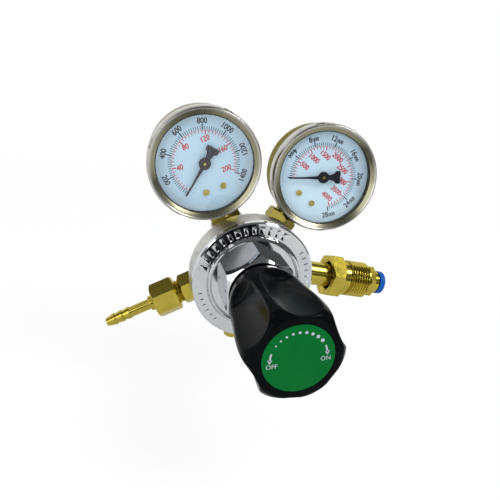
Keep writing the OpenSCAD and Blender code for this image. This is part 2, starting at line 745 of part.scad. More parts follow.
module outlet_adapter() {
    color(brass) at_port(outlet_angle) difference() {
        union() {
            translate([0, 0, boss_reach - port_thread_l]) cylinder(r = port_thread_r, h = port_thread_l + 2);
            translate([0, 0, adapter_hex_back]) rotate([0, 0, 14]) hex_bar(adapter_af, adapter_hex_l);
            translate([0, 0, adapter_hex_front - 1]) bevel_bar(outlet_thread_r, outlet_thread_l + 1, 0.8);
        }
        translate([0, 0, boss_reach - port_thread_l - 1]) cylinder(r = outlet_bore_r, h = outlet_reach);
        // cone that the barb's nose seats in
        translate([0, 0, adapter_tip - 2.5])
            cylinder(r1 = outlet_bore_r, r2 = barb_head_r, h = 2.51);
    }
}

module outlet_nut() {
    color(brass) at_port(outlet_angle) difference() {
        translate([0, 0, outlet_nut_back]) rotate([0, 0, 14]) hex_bar(outlet_af, outlet_nut_l);
        translate([0, 0, outlet_nut_back - 1])
            cylinder(r = outlet_thread_r + run_gap, h = outlet_nut_l - nut_wall + 1);
        translate([0, 0, outlet_nut_back]) cylinder(r = barb_collar_r + run_gap, h = outlet_nut_l + 1);
    }
}

module hose_barb() {
    root_r = shank_r - 0.2;
    teeth = [for (i = [barbs - 1:-1:0])
        let (ridge = first_ridge - i * barb_pitch)
        each [[shank_r, ridge], [barb_r, ridge],
              i > 0 ? [root_r, ridge + barb_pitch] : [barb_r - 1.4, outlet_reach]]];
    color(brass) at_port(outlet_angle) difference() {
        rotate_extrude() polygon(concat(
            [[0, adapter_tip - 1.2], [barb_head_r - 2.2, adapter_tip - 1.2],
             [barb_head_r, adapter_tip + 1], [barb_head_r, barb_head_front],
             [barb_collar_r, barb_head_front], [barb_collar_r, barb_collar_front - 0.5],
             [barb_collar_r - 0.5, barb_collar_front], [shank_r, barb_collar_front]],
            teeth, [[0, outlet_reach]]));
        translate([0, 0, adapter_tip - 2]) cylinder(r = outlet_bore_r - 0.4, h = outlet_reach);
    }
}

// ---- relief valve --------------------------------------------------------------

module relief_body() {
    color(brass) at_port(relief_angle) difference() {
        union() {
            translate([0, 0, boss_reach - relief_thread_l])
                cylinder(r = relief_thread_r, h = relief_thread_l + 1);
            translate([0, 0, boss_reach + 0.1]) hex_bar(relief_af, relief_hex_l);
            translate([0, 0, relief_hex_front - 1.5])
                cylinder(r = relief_bore_r + 1, h = relief_reach - relief_cap_t - relief_hex_front + 1);
        }
        translate([0, 0, relief_seat]) cylinder(r = relief_bore_r, h = relief_reach);
        translate([0, 0, boss_reach - relief_thread_l - 1])
            cylinder(r = relief_port_r, h = relief_thread_l + 4);
    }
}

module relief_poppet() {
    color(brass) at_port(relief_angle) translate([0, 0, relief_seat + side_gap / 2]) {
        cylinder(r = relief_bore_r - run_gap, h = 2);
        cylinder(r = 1, h = relief_poppet_l);
    }
}

module relief_spring() {
    back = relief_seat + side_gap / 2 + 2.05;
    wire_r = 0.35;
    color(steel) at_port(relief_angle) translate([0, 0, back])
        coil(relief_bore_r - wire_r - 0.2, wire_r, relief_reach - relief_cap_t - 0.1 - back, 6);
}

module relief_cap() {
    color(brass) at_port(relief_angle) difference() {
        translate([0, 0, relief_cap_back]) bevel_bar(relief_cap_r, relief_reach - relief_cap_back, 0.8);
        translate([0, 0, relief_cap_back - 1])
            cylinder(r = relief_bore_r + 1 + seat_gap, h = relief_reach - relief_cap_t - relief_cap_back + 1);
        // vent in the cap's end
        cylinder(r = relief_port_r, h = relief_reach + 1);
    }
}

// ---- gauges, drawn on the dial's centre with z = 0 on the stem's axis ------------

module socket() {
    color(brass) difference() {
        union() {
            translate([-block_w / 2, block_y[0], -block_back])
                cube([block_w, block_y[1] - block_y[0], block_back + block_top]);
            for (s = [-1, 1]) translate([s * dial_screw_x, -dial_screw_y, block_top - 0.5])
                cylinder(r = dial_screw_head_r, h = dial_back - block_top + 0.5, $fn = 32);
            translate([0, block_y[0] + 1, 0]) rotate([90, 0, 0])
                cylinder(r = stem_r, h = block_y[0] + 2 - stem_hex_y - stem_hex_l);
            translate([0, stem_hex_y + stem_hex_l, 0]) rotate([90, 0, 0]) rotate([0, 0, 30])
                hex_bar(stem_af, stem_hex_l);
            translate([0, stem_hex_y + 1, 0]) rotate([90, 0, 0])
                cylinder(r = port_thread_r, h = port_thread_l + 1);
        }
        bourdon_tail(seat_gap);
        // gas passage and the two dial-screw holes
        translate([0, block_y[0] + 6, 0]) rotate([90, 0, 0])
            cylinder(r = 1.2, h = gauge_reach, $fn = 32);
        for (s = [-1, 1]) translate([s * dial_screw_x, -dial_screw_y, dial_back - 4])
            cylinder(r = dial_screw_r + seat_gap, h = 6, $fn = 32);
    }
}

module case() {
    edge = [for (a = [0:15:90]) [case_r - case_edge_r * (1 - sin(a)),
                                 -case_back + case_edge_r * (1 - cos(a))]];
    color(gold) difference() {
        rotate_extrude($fn = 96) polygon(concat(
            [[0, -case_back]], edge,
            [[case_r, case_front], [window_r + 0.6, case_front],
             [window_r + 0.6, case_front - 0.8], [case_bore_r, case_front - 1.6],
             [case_bore_r, -case_back + case_edge_r],
             [case_bore_r - case_edge_r + case_wall, -case_back + case_wall],
             [0, -case_back + case_wall]]));
        translate([0, block_y[0] + 3, 0]) rotate([90, 0, 0])
            cylinder(r = stem_r + seat_gap, h = block_gap + case_wall + 6);
    }
}

module bezel() {
    notch_w = 5.4;
    notch_l = 3;
    rim = bezel_r - window_r;
    color(chrome) difference() {
        rotate_extrude($fn = 96) translate([0, bezel_front]) polygon([
            [window_r, -lens_sunk + 0.1], [window_r, -lens_sunk + 0.8], [window_r + rim * 0.52, -0.5],
            [window_r + rim * 0.67, 0], [window_r + rim * 0.79, -0.1],
            [bezel_r - 0.25, -1.6], [bezel_r, -2.6], [bezel_r, -bezel_deep],
            [case_r + bezel_gap, -bezel_deep], [case_r + bezel_gap, -lens_sunk + 0.1]]);
        for (a = [0:90:270]) rotate([0, 0, notch_turn + a])
            translate([bezel_r - 0.7, -notch_w / 2, bezel_front - 2.6 - notch_l])
                cube([3, notch_w, notch_l]);
    }
}

module lens() {
    color([0.85, 0.92, 0.95, 0.35]) translate([0, 0, lens_back]) cylinder(r = case_r - 0.3, h = lens_t);
}

module gasket() {
    color(rubber) translate([0, 0, case_front + seat_gap / 2]) difference() {
        cylinder(r = case_r - 0.3, h = gasket_t);
        translate([0, 0, -1]) cylinder(r = window_r + 0.5, h = gasket_t + 2);
    }
}

module dial() {
    color(dial_blue) translate([0, 0, dial_back]) difference() {
        cylinder(r = dial_r, h = dial_t);
        translate([0, 0, -1]) cylinder(r = arbor_r + 0.7, h = dial_t + 2, $fn = 32);
        for (s = [-1, 1]) translate([s * dial_screw_x, -dial_screw_y, -1])
            cylinder(r = dial_screw_r + 0.1, h = dial_t + 2, $fn = 32);
    }
}

module dial_screws() {
    color(brass) for (s = [-1, 1]) translate([s * dial_screw_x, -dial_screw_y, 0]) difference() {
        union() {
            translate([0, 0, dial_front]) cylinder(r = dial_screw_head_r, h = 0.8, $fn = 32);
            translate([0, 0, dial_front - 3]) cylinder(r = dial_screw_r, h = 3.2, $fn = 32);
        }
        // crossed slots
        for (turn = [35, 125]) rotate([0, 0, turn])
            translate([-dial_screw_head_r * 0.72, -0.25, dial_front + 0.4])
                cube([dial_screw_head_r * 1.44, 0.5, 1]);
    }
}

module pointer() {
    color(black) rotate([0, 0, 90 + zero_angle]) difference() {
        union() {
            translate([0, 0, pointer_back]) linear_extrude(pointer_t)
                polygon([[0, 1.1], [pointer_l * 0.5, 0.55], [pointer_l - 1, 0.3], [pointer_l, 0],
                         [pointer_l - 1, -0.3], [pointer_l * 0.5, -0.55], [0, -1.1],
                         [-hub_r - 0.6, -1.4], [-tail_l * 0.62, -2.1], [-tail_l * 0.72, -3.5],
                         [-tail_l + 0.3, -3.7], [-tail_l, -1.6], [-tail_l + 0.4, 0], [-tail_l, 1.6],
                         [-tail_l + 0.3, 3.7], [-tail_l * 0.72, 3.5], [-tail_l * 0.62, 2.1],
                         [-hub_r - 0.6, 1.4]]);
            translate([0, 0, pointer_back]) cylinder(r = hub_r, h = pointer_t, $fn = 48);
            translate([0, 0, pointer_back]) cylinder(r = hub_r * 0.42, h = hub_h, $fn = 32);
        }
        translate([0, 0, pointer_back - 1]) cylinder(r = arbor_r + seat_gap / 2, h = 4, $fn = 32);
    }
}

// One straight-flanked gear tooth on the x axis, from root to tip.
module tooth(pitch_r) {
    root = pitch_r - 1.5 * gear_module;
    tip = pitch_r + 0.75 * gear_module;
    polygon([[root, -0.72 * gear_module], [pitch_r, -0.5 * gear_module], [tip, -0.24 * gear_module],
             [tip, 0.24 * gear_module], [pitch_r, 0.5 * gear_module], [root, 0.72 * gear_module]]);
}

module pinion() {
    color(brass) {
        translate([0, 0, plate_thick])
            cylinder(r = arbor_r, h = pointer_back + hub_h - plate_thick, $fn = 32);
        translate([0, 0, sector_z - 0.2]) linear_extrude(sector_t + 0.4) {
            circle(r = pinion_pitch_r - 1.25 * gear_module, $fn = 32);
            for (i = [0:pinion_teeth - 1])
                rotate(sector_angle + 360 * i / pinion_teeth) tooth(pinion_pitch_r);
        }
    }
}

// Sector gear, drawn on its pivot with x towards the pinion.
module sector() {
    root_r = sector_pitch_r - 1.25 * gear_module;
    step = 360 / sector_teeth;
    first = step * 1.5;
    last = first - (sector_cut - 1) * step;
    rim = [for (i = [0:12]) let (a = first + step - i * (first - last + 2 * step) / 12)
        (root_r + 0.05) * [cos(a), sin(a)]];
    inner = [for (i = [0:12]) let (a = last - step + i * (first - last + 2 * step) / 12)
        (root_r - 2.4) * [cos(a), sin(a)]];
    middle = (first + last) / 2;
    color(brass) translate([sector_x * cos(sector_angle), sector_x * sin(sector_angle), 0])
        rotate([0, 0, sector_angle + 180]) {
            translate([0, 0, plate_thick]) cylinder(r = arbor_r, h = top_plate_z, $fn = 32);
            translate([0, 0, sector_z]) linear_extrude(sector_t) difference() {
                union() {
                    polygon(concat(rim, inner));
                    for (i = [0:sector_cut - 1]) rotate(first - i * step) tooth(sector_pitch_r);
                    circle(r = 2.2, $fn = 32);
                    rotate(middle) translate([0, -1.1]) square([root_r - 1, 2.2]);
                    translate([-tail_reach, -0.9]) square([tail_reach, 1.8]);
                    translate([-tail_reach, 0]) circle(r = 1.2, $fn = 24);
                }
                translate([-tail_reach, 0]) circle(r = 0.6, $fn = 24);
            }
        }
}

// Back and front plates of the movement with their two pillars.
module movement() {
    reach = sector_x + 4;
    color(brass) difference() {
        union() {
            for (z = [block_top, top_plate_z]) translate([0, 0, z]) rotate([0, 0, sector_angle])
                translate([-6, -5.5, 0]) cube([reach + 6, 11, plate_thick]);
            translate([-4, block_y[1] - 2.2, block_top]) cube([11, 12, plate_thick]);
            rotate([0, 0, sector_angle]) for (p = [[-4, 0], [sector_x, 3.9]])
                translate([p[0], p[1], block_top])
                    cylinder(r = 1.3, h = top_plate_z - block_top + 0.5, $fn = 32);
        }
        for (x = [0, sector_x]) rotate([0, 0, sector_angle]) translate([x, 0, 0])
            cylinder(r = arbor_r + run_gap / 2, h = top_plate_z + 2, $fn = 32);
    }
}

// The square tail of the Bourdon tube, and with a clearance the pocket that it is soldered in.
module bourdon_tail(clearance = 0) {
    w = bourdon_t - 0.2 + 2 * clearance;
    l = tail_deep + clearance;
    rotate([0, 0, root_angle]) translate([bourdon_r - w / 2, -l, bourdon_z - w / 2])
        cube([w, l + (clearance > 0 ? bourdon_t : 0.5), w]);
}

// Flattened C-shaped tube from the socket block round to its free tip.
module bourdon_tube() {
    tip_w = bourdon_t * 1.5;
    color([0.66, 0.42, 0.22]) difference() {
        union() {
            rotate([0, 0, root_angle]) rotate_extrude(angle = tip_angle - root_angle, $fn = 96)
                translate([bourdon_r - bourdon_t / 2, bourdon_z - bourdon_w / 2])
                    square([bourdon_t, bourdon_w]);
            rotate([0, 0, tip_angle]) translate([bourdon_r - tip_w / 2, -0.5, bourdon_z - bourdon_w / 2])
                cube([tip_w, 4, bourdon_w]);
            bourdon_tail();
        }
        rotate([0, 0, tip_angle]) translate([bourdon_r, 2, bourdon_z])
            cylinder(r = link_pin_r + 0.1, h = bourdon_w, $fn = 24);
    }
}

module link() {
    pivot = [sector_x * cos(sector_angle), sector_x * sin(sector_angle)];
    from = pivot + tail_reach * [cos(sector_angle), sin(sector_angle)];
    to = [bourdon_r * cos(tip_angle) - 2 * sin(tip_angle), bourdon_r * sin(tip_angle) + 2 * cos(tip_angle)];
    low = sector_z - 1.1;
    step = to - from;
    color(steel) {
        translate([0, 0, low]) linear_extrude(0.8) {
            translate(from) circle(r = 1.1, $fn = 24);
            translate(to) circle(r = 1.1, $fn = 24);
            translate(from) rotate(atan2(step[1], step[0])) translate([0, -0.6]) square([norm(step), 1.2]);
        }
        translate([from[0], from[1], low]) cylinder(r = link_pin_r, h = 2.6, $fn = 24);
        translate([to[0], to[1], low - 2.4]) cylinder(r = link_pin_r, h = 2.8, $fn = 24);
    }
}

module low() at_gauge(low_angle, low_twist) children();
module high() at_gauge(high_angle, high_twist) children();

regulator_body();
bonnet();
rear_plug();
diaphragm();
diaphragm_plate();
nozzle();
valve_poppet();
valve_spring();
range_spring();
spring_button();
button_ball();
adjusting_screw();
knob();
knob_label();
inlet_nipple();
inlet_filter();
inlet_nut();
inlet_cap();
outlet_adapter();
outlet_nut();
hose_barb();
relief_body();
relief_poppet();
relief_spring();
relief_cap();
low() socket();  // low_socket
low() case();  // low_case
low() bezel();  // low_bezel
low() lens();  // low_lens
low() gasket();  // low_gasket
low() dial();  // low_dial
low() dial_screws();  // low_dial_screws
low() pointer();  // low_pointer
low() pinion();  // low_pinion
low() sector();  // low_sector
low() movement();  // low_movement
low() bourdon_tube();  // low_bourdon_tube
low() link();  // low_link
high() socket();  // high_socket
high() case();  // high_case
high() bezel();  // high_bezel
high() lens();  // high_lens
high() gasket();  // high_gasket
high() dial();  // high_dial
high() dial_screws();  // high_dial_screws
high() pointer();  // high_pointer
high() pinion();  // high_pinion
high() sector();  // high_sector
high() movement();  // high_movement
high() bourdon_tube();  // high_bourdon_tube
high() link();  // high_link
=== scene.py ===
# %% [markdown]
# # A gas pressure regulator with two gauges
# A regulator takes the high pressure of a gas cylinder and lets it out at a low, steady
# pressure. This notebook dresses its construction model: the sizes, the places and the
# moving bodies come from the frame, and Blender adds the finish. Each cell makes one
# piece or one finish. Lengths are written in millimetres and multiplied by mm.

# %% Load the frame
import json
import math
import bpy
from mathutils import Matrix, Quaternion, Vector


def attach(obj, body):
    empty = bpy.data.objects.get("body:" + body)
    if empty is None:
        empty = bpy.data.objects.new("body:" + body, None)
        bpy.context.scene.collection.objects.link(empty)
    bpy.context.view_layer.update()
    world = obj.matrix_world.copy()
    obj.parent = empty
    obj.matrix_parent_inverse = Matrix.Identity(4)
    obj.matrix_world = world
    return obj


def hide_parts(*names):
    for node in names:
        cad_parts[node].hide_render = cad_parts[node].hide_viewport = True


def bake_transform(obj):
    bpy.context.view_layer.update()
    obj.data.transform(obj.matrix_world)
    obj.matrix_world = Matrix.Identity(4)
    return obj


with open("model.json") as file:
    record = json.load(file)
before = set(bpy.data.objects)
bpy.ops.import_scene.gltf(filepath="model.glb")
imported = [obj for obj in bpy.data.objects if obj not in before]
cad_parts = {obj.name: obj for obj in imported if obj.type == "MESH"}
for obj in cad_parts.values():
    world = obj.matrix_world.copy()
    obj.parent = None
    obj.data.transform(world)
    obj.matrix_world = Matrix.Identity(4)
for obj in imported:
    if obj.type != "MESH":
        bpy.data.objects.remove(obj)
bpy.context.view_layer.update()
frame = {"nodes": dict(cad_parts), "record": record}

mm = 0.001
behaviour = frame["record"]["behaviour"]
joints = {row["name"]: row for row in behaviour["joints"]}
body_of = {node: body for body, members in behaviour["bodies"].items() for node in members}
slot_of = {row["node"]: row["material_slot"] for row in frame["record"]["subparts"]}

# %% [markdown]
# ## Places to work from
# Nearly every piece here is turned on a lathe, so it is easiest to make it round its own
# z axis and to put it in place afterwards. A place is a matrix: three directions and an
# origin. The joints of the frame already hold the axes, so they are read and not typed.
# The body's place has z towards the knob, a port's has z outwards along the port, and a
# gauge's has z out of the glass and y away from the body.

# %% The places
port_back = 27 * mm
knob_axis = Vector(joints["knob_turn"]["pos_m"])


def place(x, y, z, origin):
    """The matrix of a frame with these directions and this origin."""
    matrix = Matrix((x, y, z)).transposed().to_4x4()
    matrix.translation = origin
    return matrix


def port_place(angle):
    """z leaves the body axis along the port and x points to the back of the body."""
    turn = math.radians(angle)
    z = Vector((math.cos(turn), 0, math.sin(turn)))
    y = Vector((-math.sin(turn), 0, math.cos(turn)))
    return place(y.cross(z), y, z, Vector((knob_axis.x, 0, knob_axis.z)))


def gauge_place(side):
    """z comes out of the glass and y points away from the body."""
    spindle = joints[side + "_pointer_turn"]
    centre = Vector(spindle["pos_m"])
    z = -Vector(spindle["axis"])
    y = (centre - Vector((knob_axis.x, 0, knob_axis.z))).normalized()
    return place(y.cross(z), y, z, centre)


body_place = place(Vector((1, 0, 0)), Vector((0, 0, 1)), Vector((0, -1, 0)),
                   Vector((knob_axis.x, -port_back, knob_axis.z)))
inlet_place = port_place(-4)
outlet_place = port_place(210)
relief_place = port_place(270)
gauges = {side: gauge_place(side) for side in ("low", "high")}
print("dial centres:", [tuple(round(c / mm, 1) for c in g.translation) for g in gauges.values()])

# %% [markdown]
# ## Helpers for modelling
# Blender's operators act on whatever is selected, so one helper selects a single object
# and a second one opens it for editing with nothing selected inside.

# %% Selecting and editing
def only(piece):
    """Selects this object alone and makes it the active one."""
    if bpy.context.object and bpy.context.object.mode != "OBJECT":
        bpy.ops.object.mode_set(mode="OBJECT")
    bpy.ops.object.select_all(action="DESELECT")
    piece.select_set(True)
    bpy.context.view_layer.objects.active = piece


def open_mesh(piece, choose="DESELECT"):
    """Goes into edit mode on this object."""
    only(piece)
    bpy.ops.object.mode_set(mode="EDIT")
    bpy.ops.mesh.select_all(action=choose)


def close_mesh():
    """Leaves edit mode."""
    bpy.ops.object.mode_set(mode="OBJECT")


def close_outward():
    """Turns every face outwards and leaves edit mode."""
    bpy.ops.mesh.select_all(action="SELECT")
    bpy.ops.mesh.normals_make_consistent(inside=False)
    close_mesh()


def pick_borders():
    """Selects the open edges of the mesh that is being edited."""
    bpy.ops.mesh.select_all(action="DESELECT")
    bpy.ops.mesh.select_mode(type="EDGE")
    bpy.ops.mesh.select_non_manifold()


def pick_faces(piece, wanted):
    """Selects the faces whose centre passes the test, and opens the mesh."""
    open_mesh(piece)
    close_mesh()
    for face in piece.data.polygons:
        face.select = wanted(face.center)
    bpy.ops.object.mode_set(mode="EDIT")
    bpy.ops.mesh.select_mode(type="FACE")


def apply_modifiers(piece):
    """Applies every modifier, from the first to the last."""
    only(piece)
    for name in [modifier.name for modifier in piece.modifiers]:
        bpy.ops.object.modifier_apply(modifier=name)


def joined(name, pieces):
    """Joins copies into one object."""
    bpy.ops.object.select_all(action="DESELECT")
    for piece in pieces:
        piece.select_set(True)
    bpy.context.view_layer.objects.active = pieces[0]
    bpy.ops.object.join()
    pieces[0].name = name
    return pieces[0]


def copied(piece, name, matrix=None):
    """A copy with its own mesh, which a matrix can move."""
    twin = bpy.data.objects.new(name, piece.data.copy())
    bpy.context.collection.objects.link(twin)
    if matrix:
        twin.data.transform(matrix)
    return twin


def made(operator, **values):
    """Runs an operator that adds an object and returns the new object."""
    only(frame["nodes"]["knob"])
    operator(**values)
    return bpy.context.object


def smooth_shading(angle):
    """Smooth shading for the active object, except across sharper edges."""
    bpy.ops.object.shade_smooth_by_angle(angle=math.radians(angle))


def rounded(piece, edge, segments, sharp=30, faces_slot=-1):
    """Rounds the edges sharper than an angle by that many millimetres."""
    bevel = piece.modifiers.new("edges", "BEVEL")
    bevel.width = edge * mm
    bevel.segments = segments
    bevel.limit_method = "ANGLE"
    bevel.angle_limit = math.radians(sharp)
    bevel.material = faces_slot
    apply_modifiers(piece)


# %% Moves in millimetres
def shift(x, y, z):
    """A move by so many millimetres."""
    return Matrix.Translation((x * mm, y * mm, z * mm))


def spun(turn):
    """A turn round z in radians."""
    return Matrix.Rotation(turn, 4, "Z")


def out_to(radius, turn, height=0):
    """A move from the z axis out to a radius."""
    return shift(radius * math.cos(turn), radius * math.sin(turn), height)


def at_radius(point, radius, wanted):
    """Moves a point of a mesh from one radius to another, without turning it."""
    point.co.x *= wanted / radius
    point.co.y *= wanted / radius


# %% [markdown]
# A lathe piece starts as one point. It is extruded along the half outline and spun once
# round z. Real turned corners are never sharp, so the outline gets small arcs at its
# corners first.

# %% The lathe
def eased(outline, radius, arc=3):
    """The outline with each inner corner replaced by a short arc."""
    points = [Vector(outline[0])]
    for before, corner, after in zip(outline, outline[1:], outline[2:]):
        corner = Vector(corner)
        back = Vector(before) - corner
        ahead = Vector(after) - corner
        reach = min(radius, back.length * 0.45, ahead.length * 0.45)
        start = corner + back.normalized() * reach
        end = corner + ahead.normalized() * reach
        for i in range(arc + 1):
            t = i / arc
            points.append(start * (1 - t) ** 2 + corner * 2 * t * (1 - t) + end * t ** 2)
    points.append(Vector(outline[-1]))
    return points


def wire(name, outline):
    """Edges through (radius, height) points in millimetres, left open for editing."""
    piece = made(bpy.ops.mesh.primitive_plane_add, size=mm, location=(0, 0, 0))
    piece.name = name
    open_mesh(piece, "SELECT")
    bpy.ops.mesh.merge(type="CENTER")
    bpy.ops.mesh.select_mode(type="VERT")
    bpy.ops.mesh.select_all(action="SELECT")
    bpy.ops.transform.translate(value=(outline[0][0] * mm, 0, outline[0][1] * mm))
    for before, after in zip(outline, outline[1:]):
        step = ((after[0] - before[0]) * mm, 0, (after[1] - before[1]) * mm)
        bpy.ops.mesh.extrude_region_move(TRANSFORM_OT_translate={"value": step})
    return piece


def turned(name, outline, steps=128, sweep=360):
    """A piece turned round z from a half outline in (radius, height) millimetres."""
    piece = wire(name, outline)
    bpy.ops.mesh.select_all(action="SELECT")
    bpy.ops.mesh.spin(steps=steps, angle=math.radians(sweep), center=(0, 0, 0), axis=(0, 0, 1))
    bpy.ops.mesh.select_all(action="SELECT")
    bpy.ops.mesh.remove_doubles(threshold=0.002 * mm)
    close_outward()
    smooth_shading(32)
    return piece


# %% [markdown]
# Many pieces are already the right shape in the frame and only lack soft edges. A copy
# of the node is welded, its flat triangles are joined into whole faces, and a bevel
# rounds every edge sharper than a limit, because a plated or turned edge catches a thin
# line of light that a perfectly sharp one never shows. The bevel gives its new faces the
# second material slot, so they can be found again: an attribute is 1 there, and the
# finishes paint the metal brighter along it, partly as wear and partly as a painted
# highlight. A weighted normal at the end keeps the large flats truly flat, and puts all
# the curve of the shading into the narrow bevels.

# %% Softened copies of frame nodes
def softened(node, edge=0.3, segments=2, sharp=34, reshape=None):
    """A welded copy of a CAD node with its sharp edges rounded by edge millimetres."""
    piece = copied(frame["nodes"][node], node + "_finish")
    open_mesh(piece, "SELECT")
    bpy.ops.mesh.customdata_custom_splitnormals_clear()
    bpy.ops.mesh.remove_doubles(threshold=0.002 * mm)
    bpy.ops.mesh.dissolve_limited(angle_limit=math.radians(0.6))
    close_mesh()
    if reshape:
        reshape(piece)
    while len(piece.data.materials) < 2:
        piece.data.materials.append(None)
    rounded(piece, edge, segments, sharp, faces_slot=1)
    worn_highlit = piece.data.attributes.new("worn_highlit", "FLOAT", "FACE")
    worn_highlit.data.foreach_set("value", [float(face.material_index == 1) for face in piece.data.polygons])
    smooth_shading(32)
    return piece


def finish(piece, material, body, node=None):
    """Gives a piece its finish, its body and the node that it stands for."""
    if "worn_highlit" in piece.data.attributes:
        flat_faces = piece.modifiers.new("flat_faces", "WEIGHTED_NORMAL")
        flat_faces.keep_sharp = True
        apply_modifiers(piece)
    piece.data.materials.clear()
    piece.data.materials.append(material)
    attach(piece, body)
    if node:
        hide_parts(node)


def stands_for(node, piece, material):
    """Finishes a piece with the body of the node that it replaces, and hides the node."""
    finish(piece, material, body_of[node], node)


def dressed(node, material, *soft, **shape):
    """Softens a copy of a node and finishes it in the node's place."""
    stands_for(node, softened(node, *soft, **shape), material)


# %% [markdown]
# ## Shared effects
# Three effects turn up in most of these finishes: fine rings left by a lathe, uneven
# smudges that change how sharp a reflection is, and edges made brighter than the rest,
# partly by wear and partly by a painted highlight.
# Each is a node group, built once and placed in each material with its own values.

# %% Helpers for nodes
def set_inputs(node, values):
    """Sets a node's inputs by name, with From_Min for From Min and _1 for input 1.

    A value that is another node, or one of its outputs, is linked instead.
    """
    for name, value in values.items():
        socket = node.inputs[int(name[1:]) if name[0] == "_" else name.replace("_", " ")]
        value = value.outputs[0] if isinstance(value, bpy.types.Node) else value
        if isinstance(value, bpy.types.NodeSocket):
            node.id_data.links.new(value, socket)
        else:
            socket.default_value = value
    return node


def added(tree, kind, operation=None, **values):
    """A new shader node with its operation and some of its inputs set."""
    node = tree.nodes.new("ShaderNode" + kind)
    if operation:
        node.operation = operation
    return set_inputs(node, values)


def effect(name, inputs, output):
    """An empty node group with these inputs and one number as its output."""
    group = bpy.data.node_groups.new(name, "ShaderNodeTree")
    for socket, kind in inputs.items():
        group.interface.new_socket(socket, in_out="INPUT", socket_type="NodeSocket" + kind)
    group.interface.new_socket(output, in_out="OUTPUT", socket_type="NodeSocketFloat")
    return group, group.nodes.new("NodeGroupInput").outputs, group.nodes.new("NodeGroupOutput")


def from_axis(tree, vector):
    """The distance of a vector from the z axis, and its height, as two outputs."""
    split = added(tree, "SeparateXYZ", _0=vector).outputs
    flat = added(tree, "CombineXYZ", X=split["X"], Y=split["Y"])
    return added(tree, "VectorMath", "LENGTH", _0=flat).outputs["Value"], split["Z"]


# %% Lathe rings: noise that depends only on radius and height
lathe_rings, given, end = effect("lathe rings", {"Vector": "Vector", "Fineness": "Float"}, "Height")
radius, height = from_axis(lathe_rings, given["Vector"])
spot = added(lathe_rings, "CombineXYZ", X=radius, Z=height)
rings = added(lathe_rings, "TexNoise", Vector=spot, Scale=given["Fineness"], Detail=2, Roughness=0.7)
set_inputs(end, {"Height": rings})

# %% Smudges: soft blotches with a little fine grain
smudges, given, end = effect("handling smudges", {"Vector": "Vector", "Size": "Float"}, "Mask")
blotch = added(smudges, "TexNoise", Vector=given["Vector"], Scale=given["Size"], Detail=5,
               Roughness=0.62, Distortion=0.4)
spread = added(smudges, "MapRange", Value=blotch, From_Min=0.36, From_Max=0.66)
set_inputs(end, {"Mask": spread})

# %% Worn and highlit edges: a patchy mask along the rounded edges, for wear and a painted highlight
worn_highlit_edges, given, end = effect(
    "rubbed edges", {"Vector": "Vector", "Edge": "Float", "Amount": "Float"}, "Mask")
patchy = added(worn_highlit_edges, "TexNoise", Vector=given["Vector"], Scale=420, Detail=3)
worn_lit_spread = added(worn_highlit_edges, "MapRange", Value=patchy, From_Min=0.30, From_Max=0.62)
along = added(worn_highlit_edges, "Math", "MULTIPLY", _0=worn_lit_spread, _1=given["Edge"])
amount = added(worn_highlit_edges, "Math", "MULTIPLY", _0=along, _1=given["Amount"])
set_inputs(end, {"Mask": amount})

# %% [markdown]
# ## Finishes
# A plated or turned metal is one colour with two variations: the tone drifts a little
# where the metal is tarnished, and the roughness drifts where it has been touched. One
# function writes that recipe, and each metal calls it with its own colours and values.
# The place turns the object's coordinates, so that lathe rings run round the piece.

# %% Building blocks of a finish
def new_material(name, **values):
    """A material with its nodes and its shader, some of whose inputs are set."""
    material = bpy.data.materials.new(name)
    material.use_nodes = True
    tree = material.node_tree
    return material, tree, set_inputs(tree.nodes["Principled BSDF"], values)


def own_coordinates(tree, where):
    """Object coordinates turned into a piece's own place."""
    turn = added(tree, "Mapping", Vector=added(tree, "TexCoord").outputs["Object"],
                 Location=where.translation, Rotation=where.to_euler())
    turn.vector_type = "TEXTURE"
    return turn


def placed(tree, group, **values):
    """A node group in a material, with its values."""
    node = added(tree, "Group")
    node.node_tree = group
    return set_inputs(node, values)


def mixed(tree, first, second, mask):
    """A colour that goes from the first to the second as the mask grows."""
    mix = added(tree, "Mix")
    mix.data_type = "RGBA"
    start = (*first, 1) if isinstance(first, tuple) else first
    return set_inputs(mix, {"A": start, "B": (*second, 1), "Factor": mask}).outputs["Result"]


def attribute(tree, name):
    """A number kept on the faces of a mesh."""
    node = added(tree, "Attribute")
    node.attribute_name = name
    return node.outputs["Fac"]


def surfaced(tree, shader, mask, smooth, rough, height, strength, depth):
    """Roughness that follows a mask, and a relief of that many millimetres."""
    gloss = added(tree, "MapRange", Value=mask, To_Min=smooth, To_Max=rough)
    bump = added(tree, "Bump", Height=height, Strength=strength, Distance=depth * mm)
    set_inputs(shader, {"Roughness": gloss, "Normal": bump})


# %% A metal recipe
def metal(name, where, clean, dull, smooth, rough, rings=0.0, fineness=2600, blotches=90,
          wear_and_highlight=None, lacquer=0.0, slant=(1, 1, 1)):
    """A metal finish: clean and dull are colours, smooth and rough are roughnesses.

    Lacquer is a clear coat, and slant tints what the metal mirrors at a low angle.
    """
    material, tree, shader = new_material(
        name, Metallic=1.0, Coat_Weight=lacquer, Coat_Roughness=0.08, Specular_Tint=(*slant, 1))
    spot = own_coordinates(tree, where)
    touched = placed(tree, smudges, Vector=spot, Size=blotches)
    colour = mixed(tree, clean, dull, touched)
    # Along the bevels the colour turns bright: wear, and a painted highlight on the edges.
    if wear_and_highlight:
        edge = attribute(tree, "worn_highlit")
        colour = mixed(tree, colour, wear_and_highlight, placed(tree, worn_highlit_edges, Vector=spot, Edge=edge, Amount=0.8))
    set_inputs(shader, {"Base Color": colour})
    marks = placed(tree, lathe_rings, Vector=spot, Fineness=fineness)
    surfaced(tree, shader, touched, smooth, rough, marks, rings, 0.05)
    return material


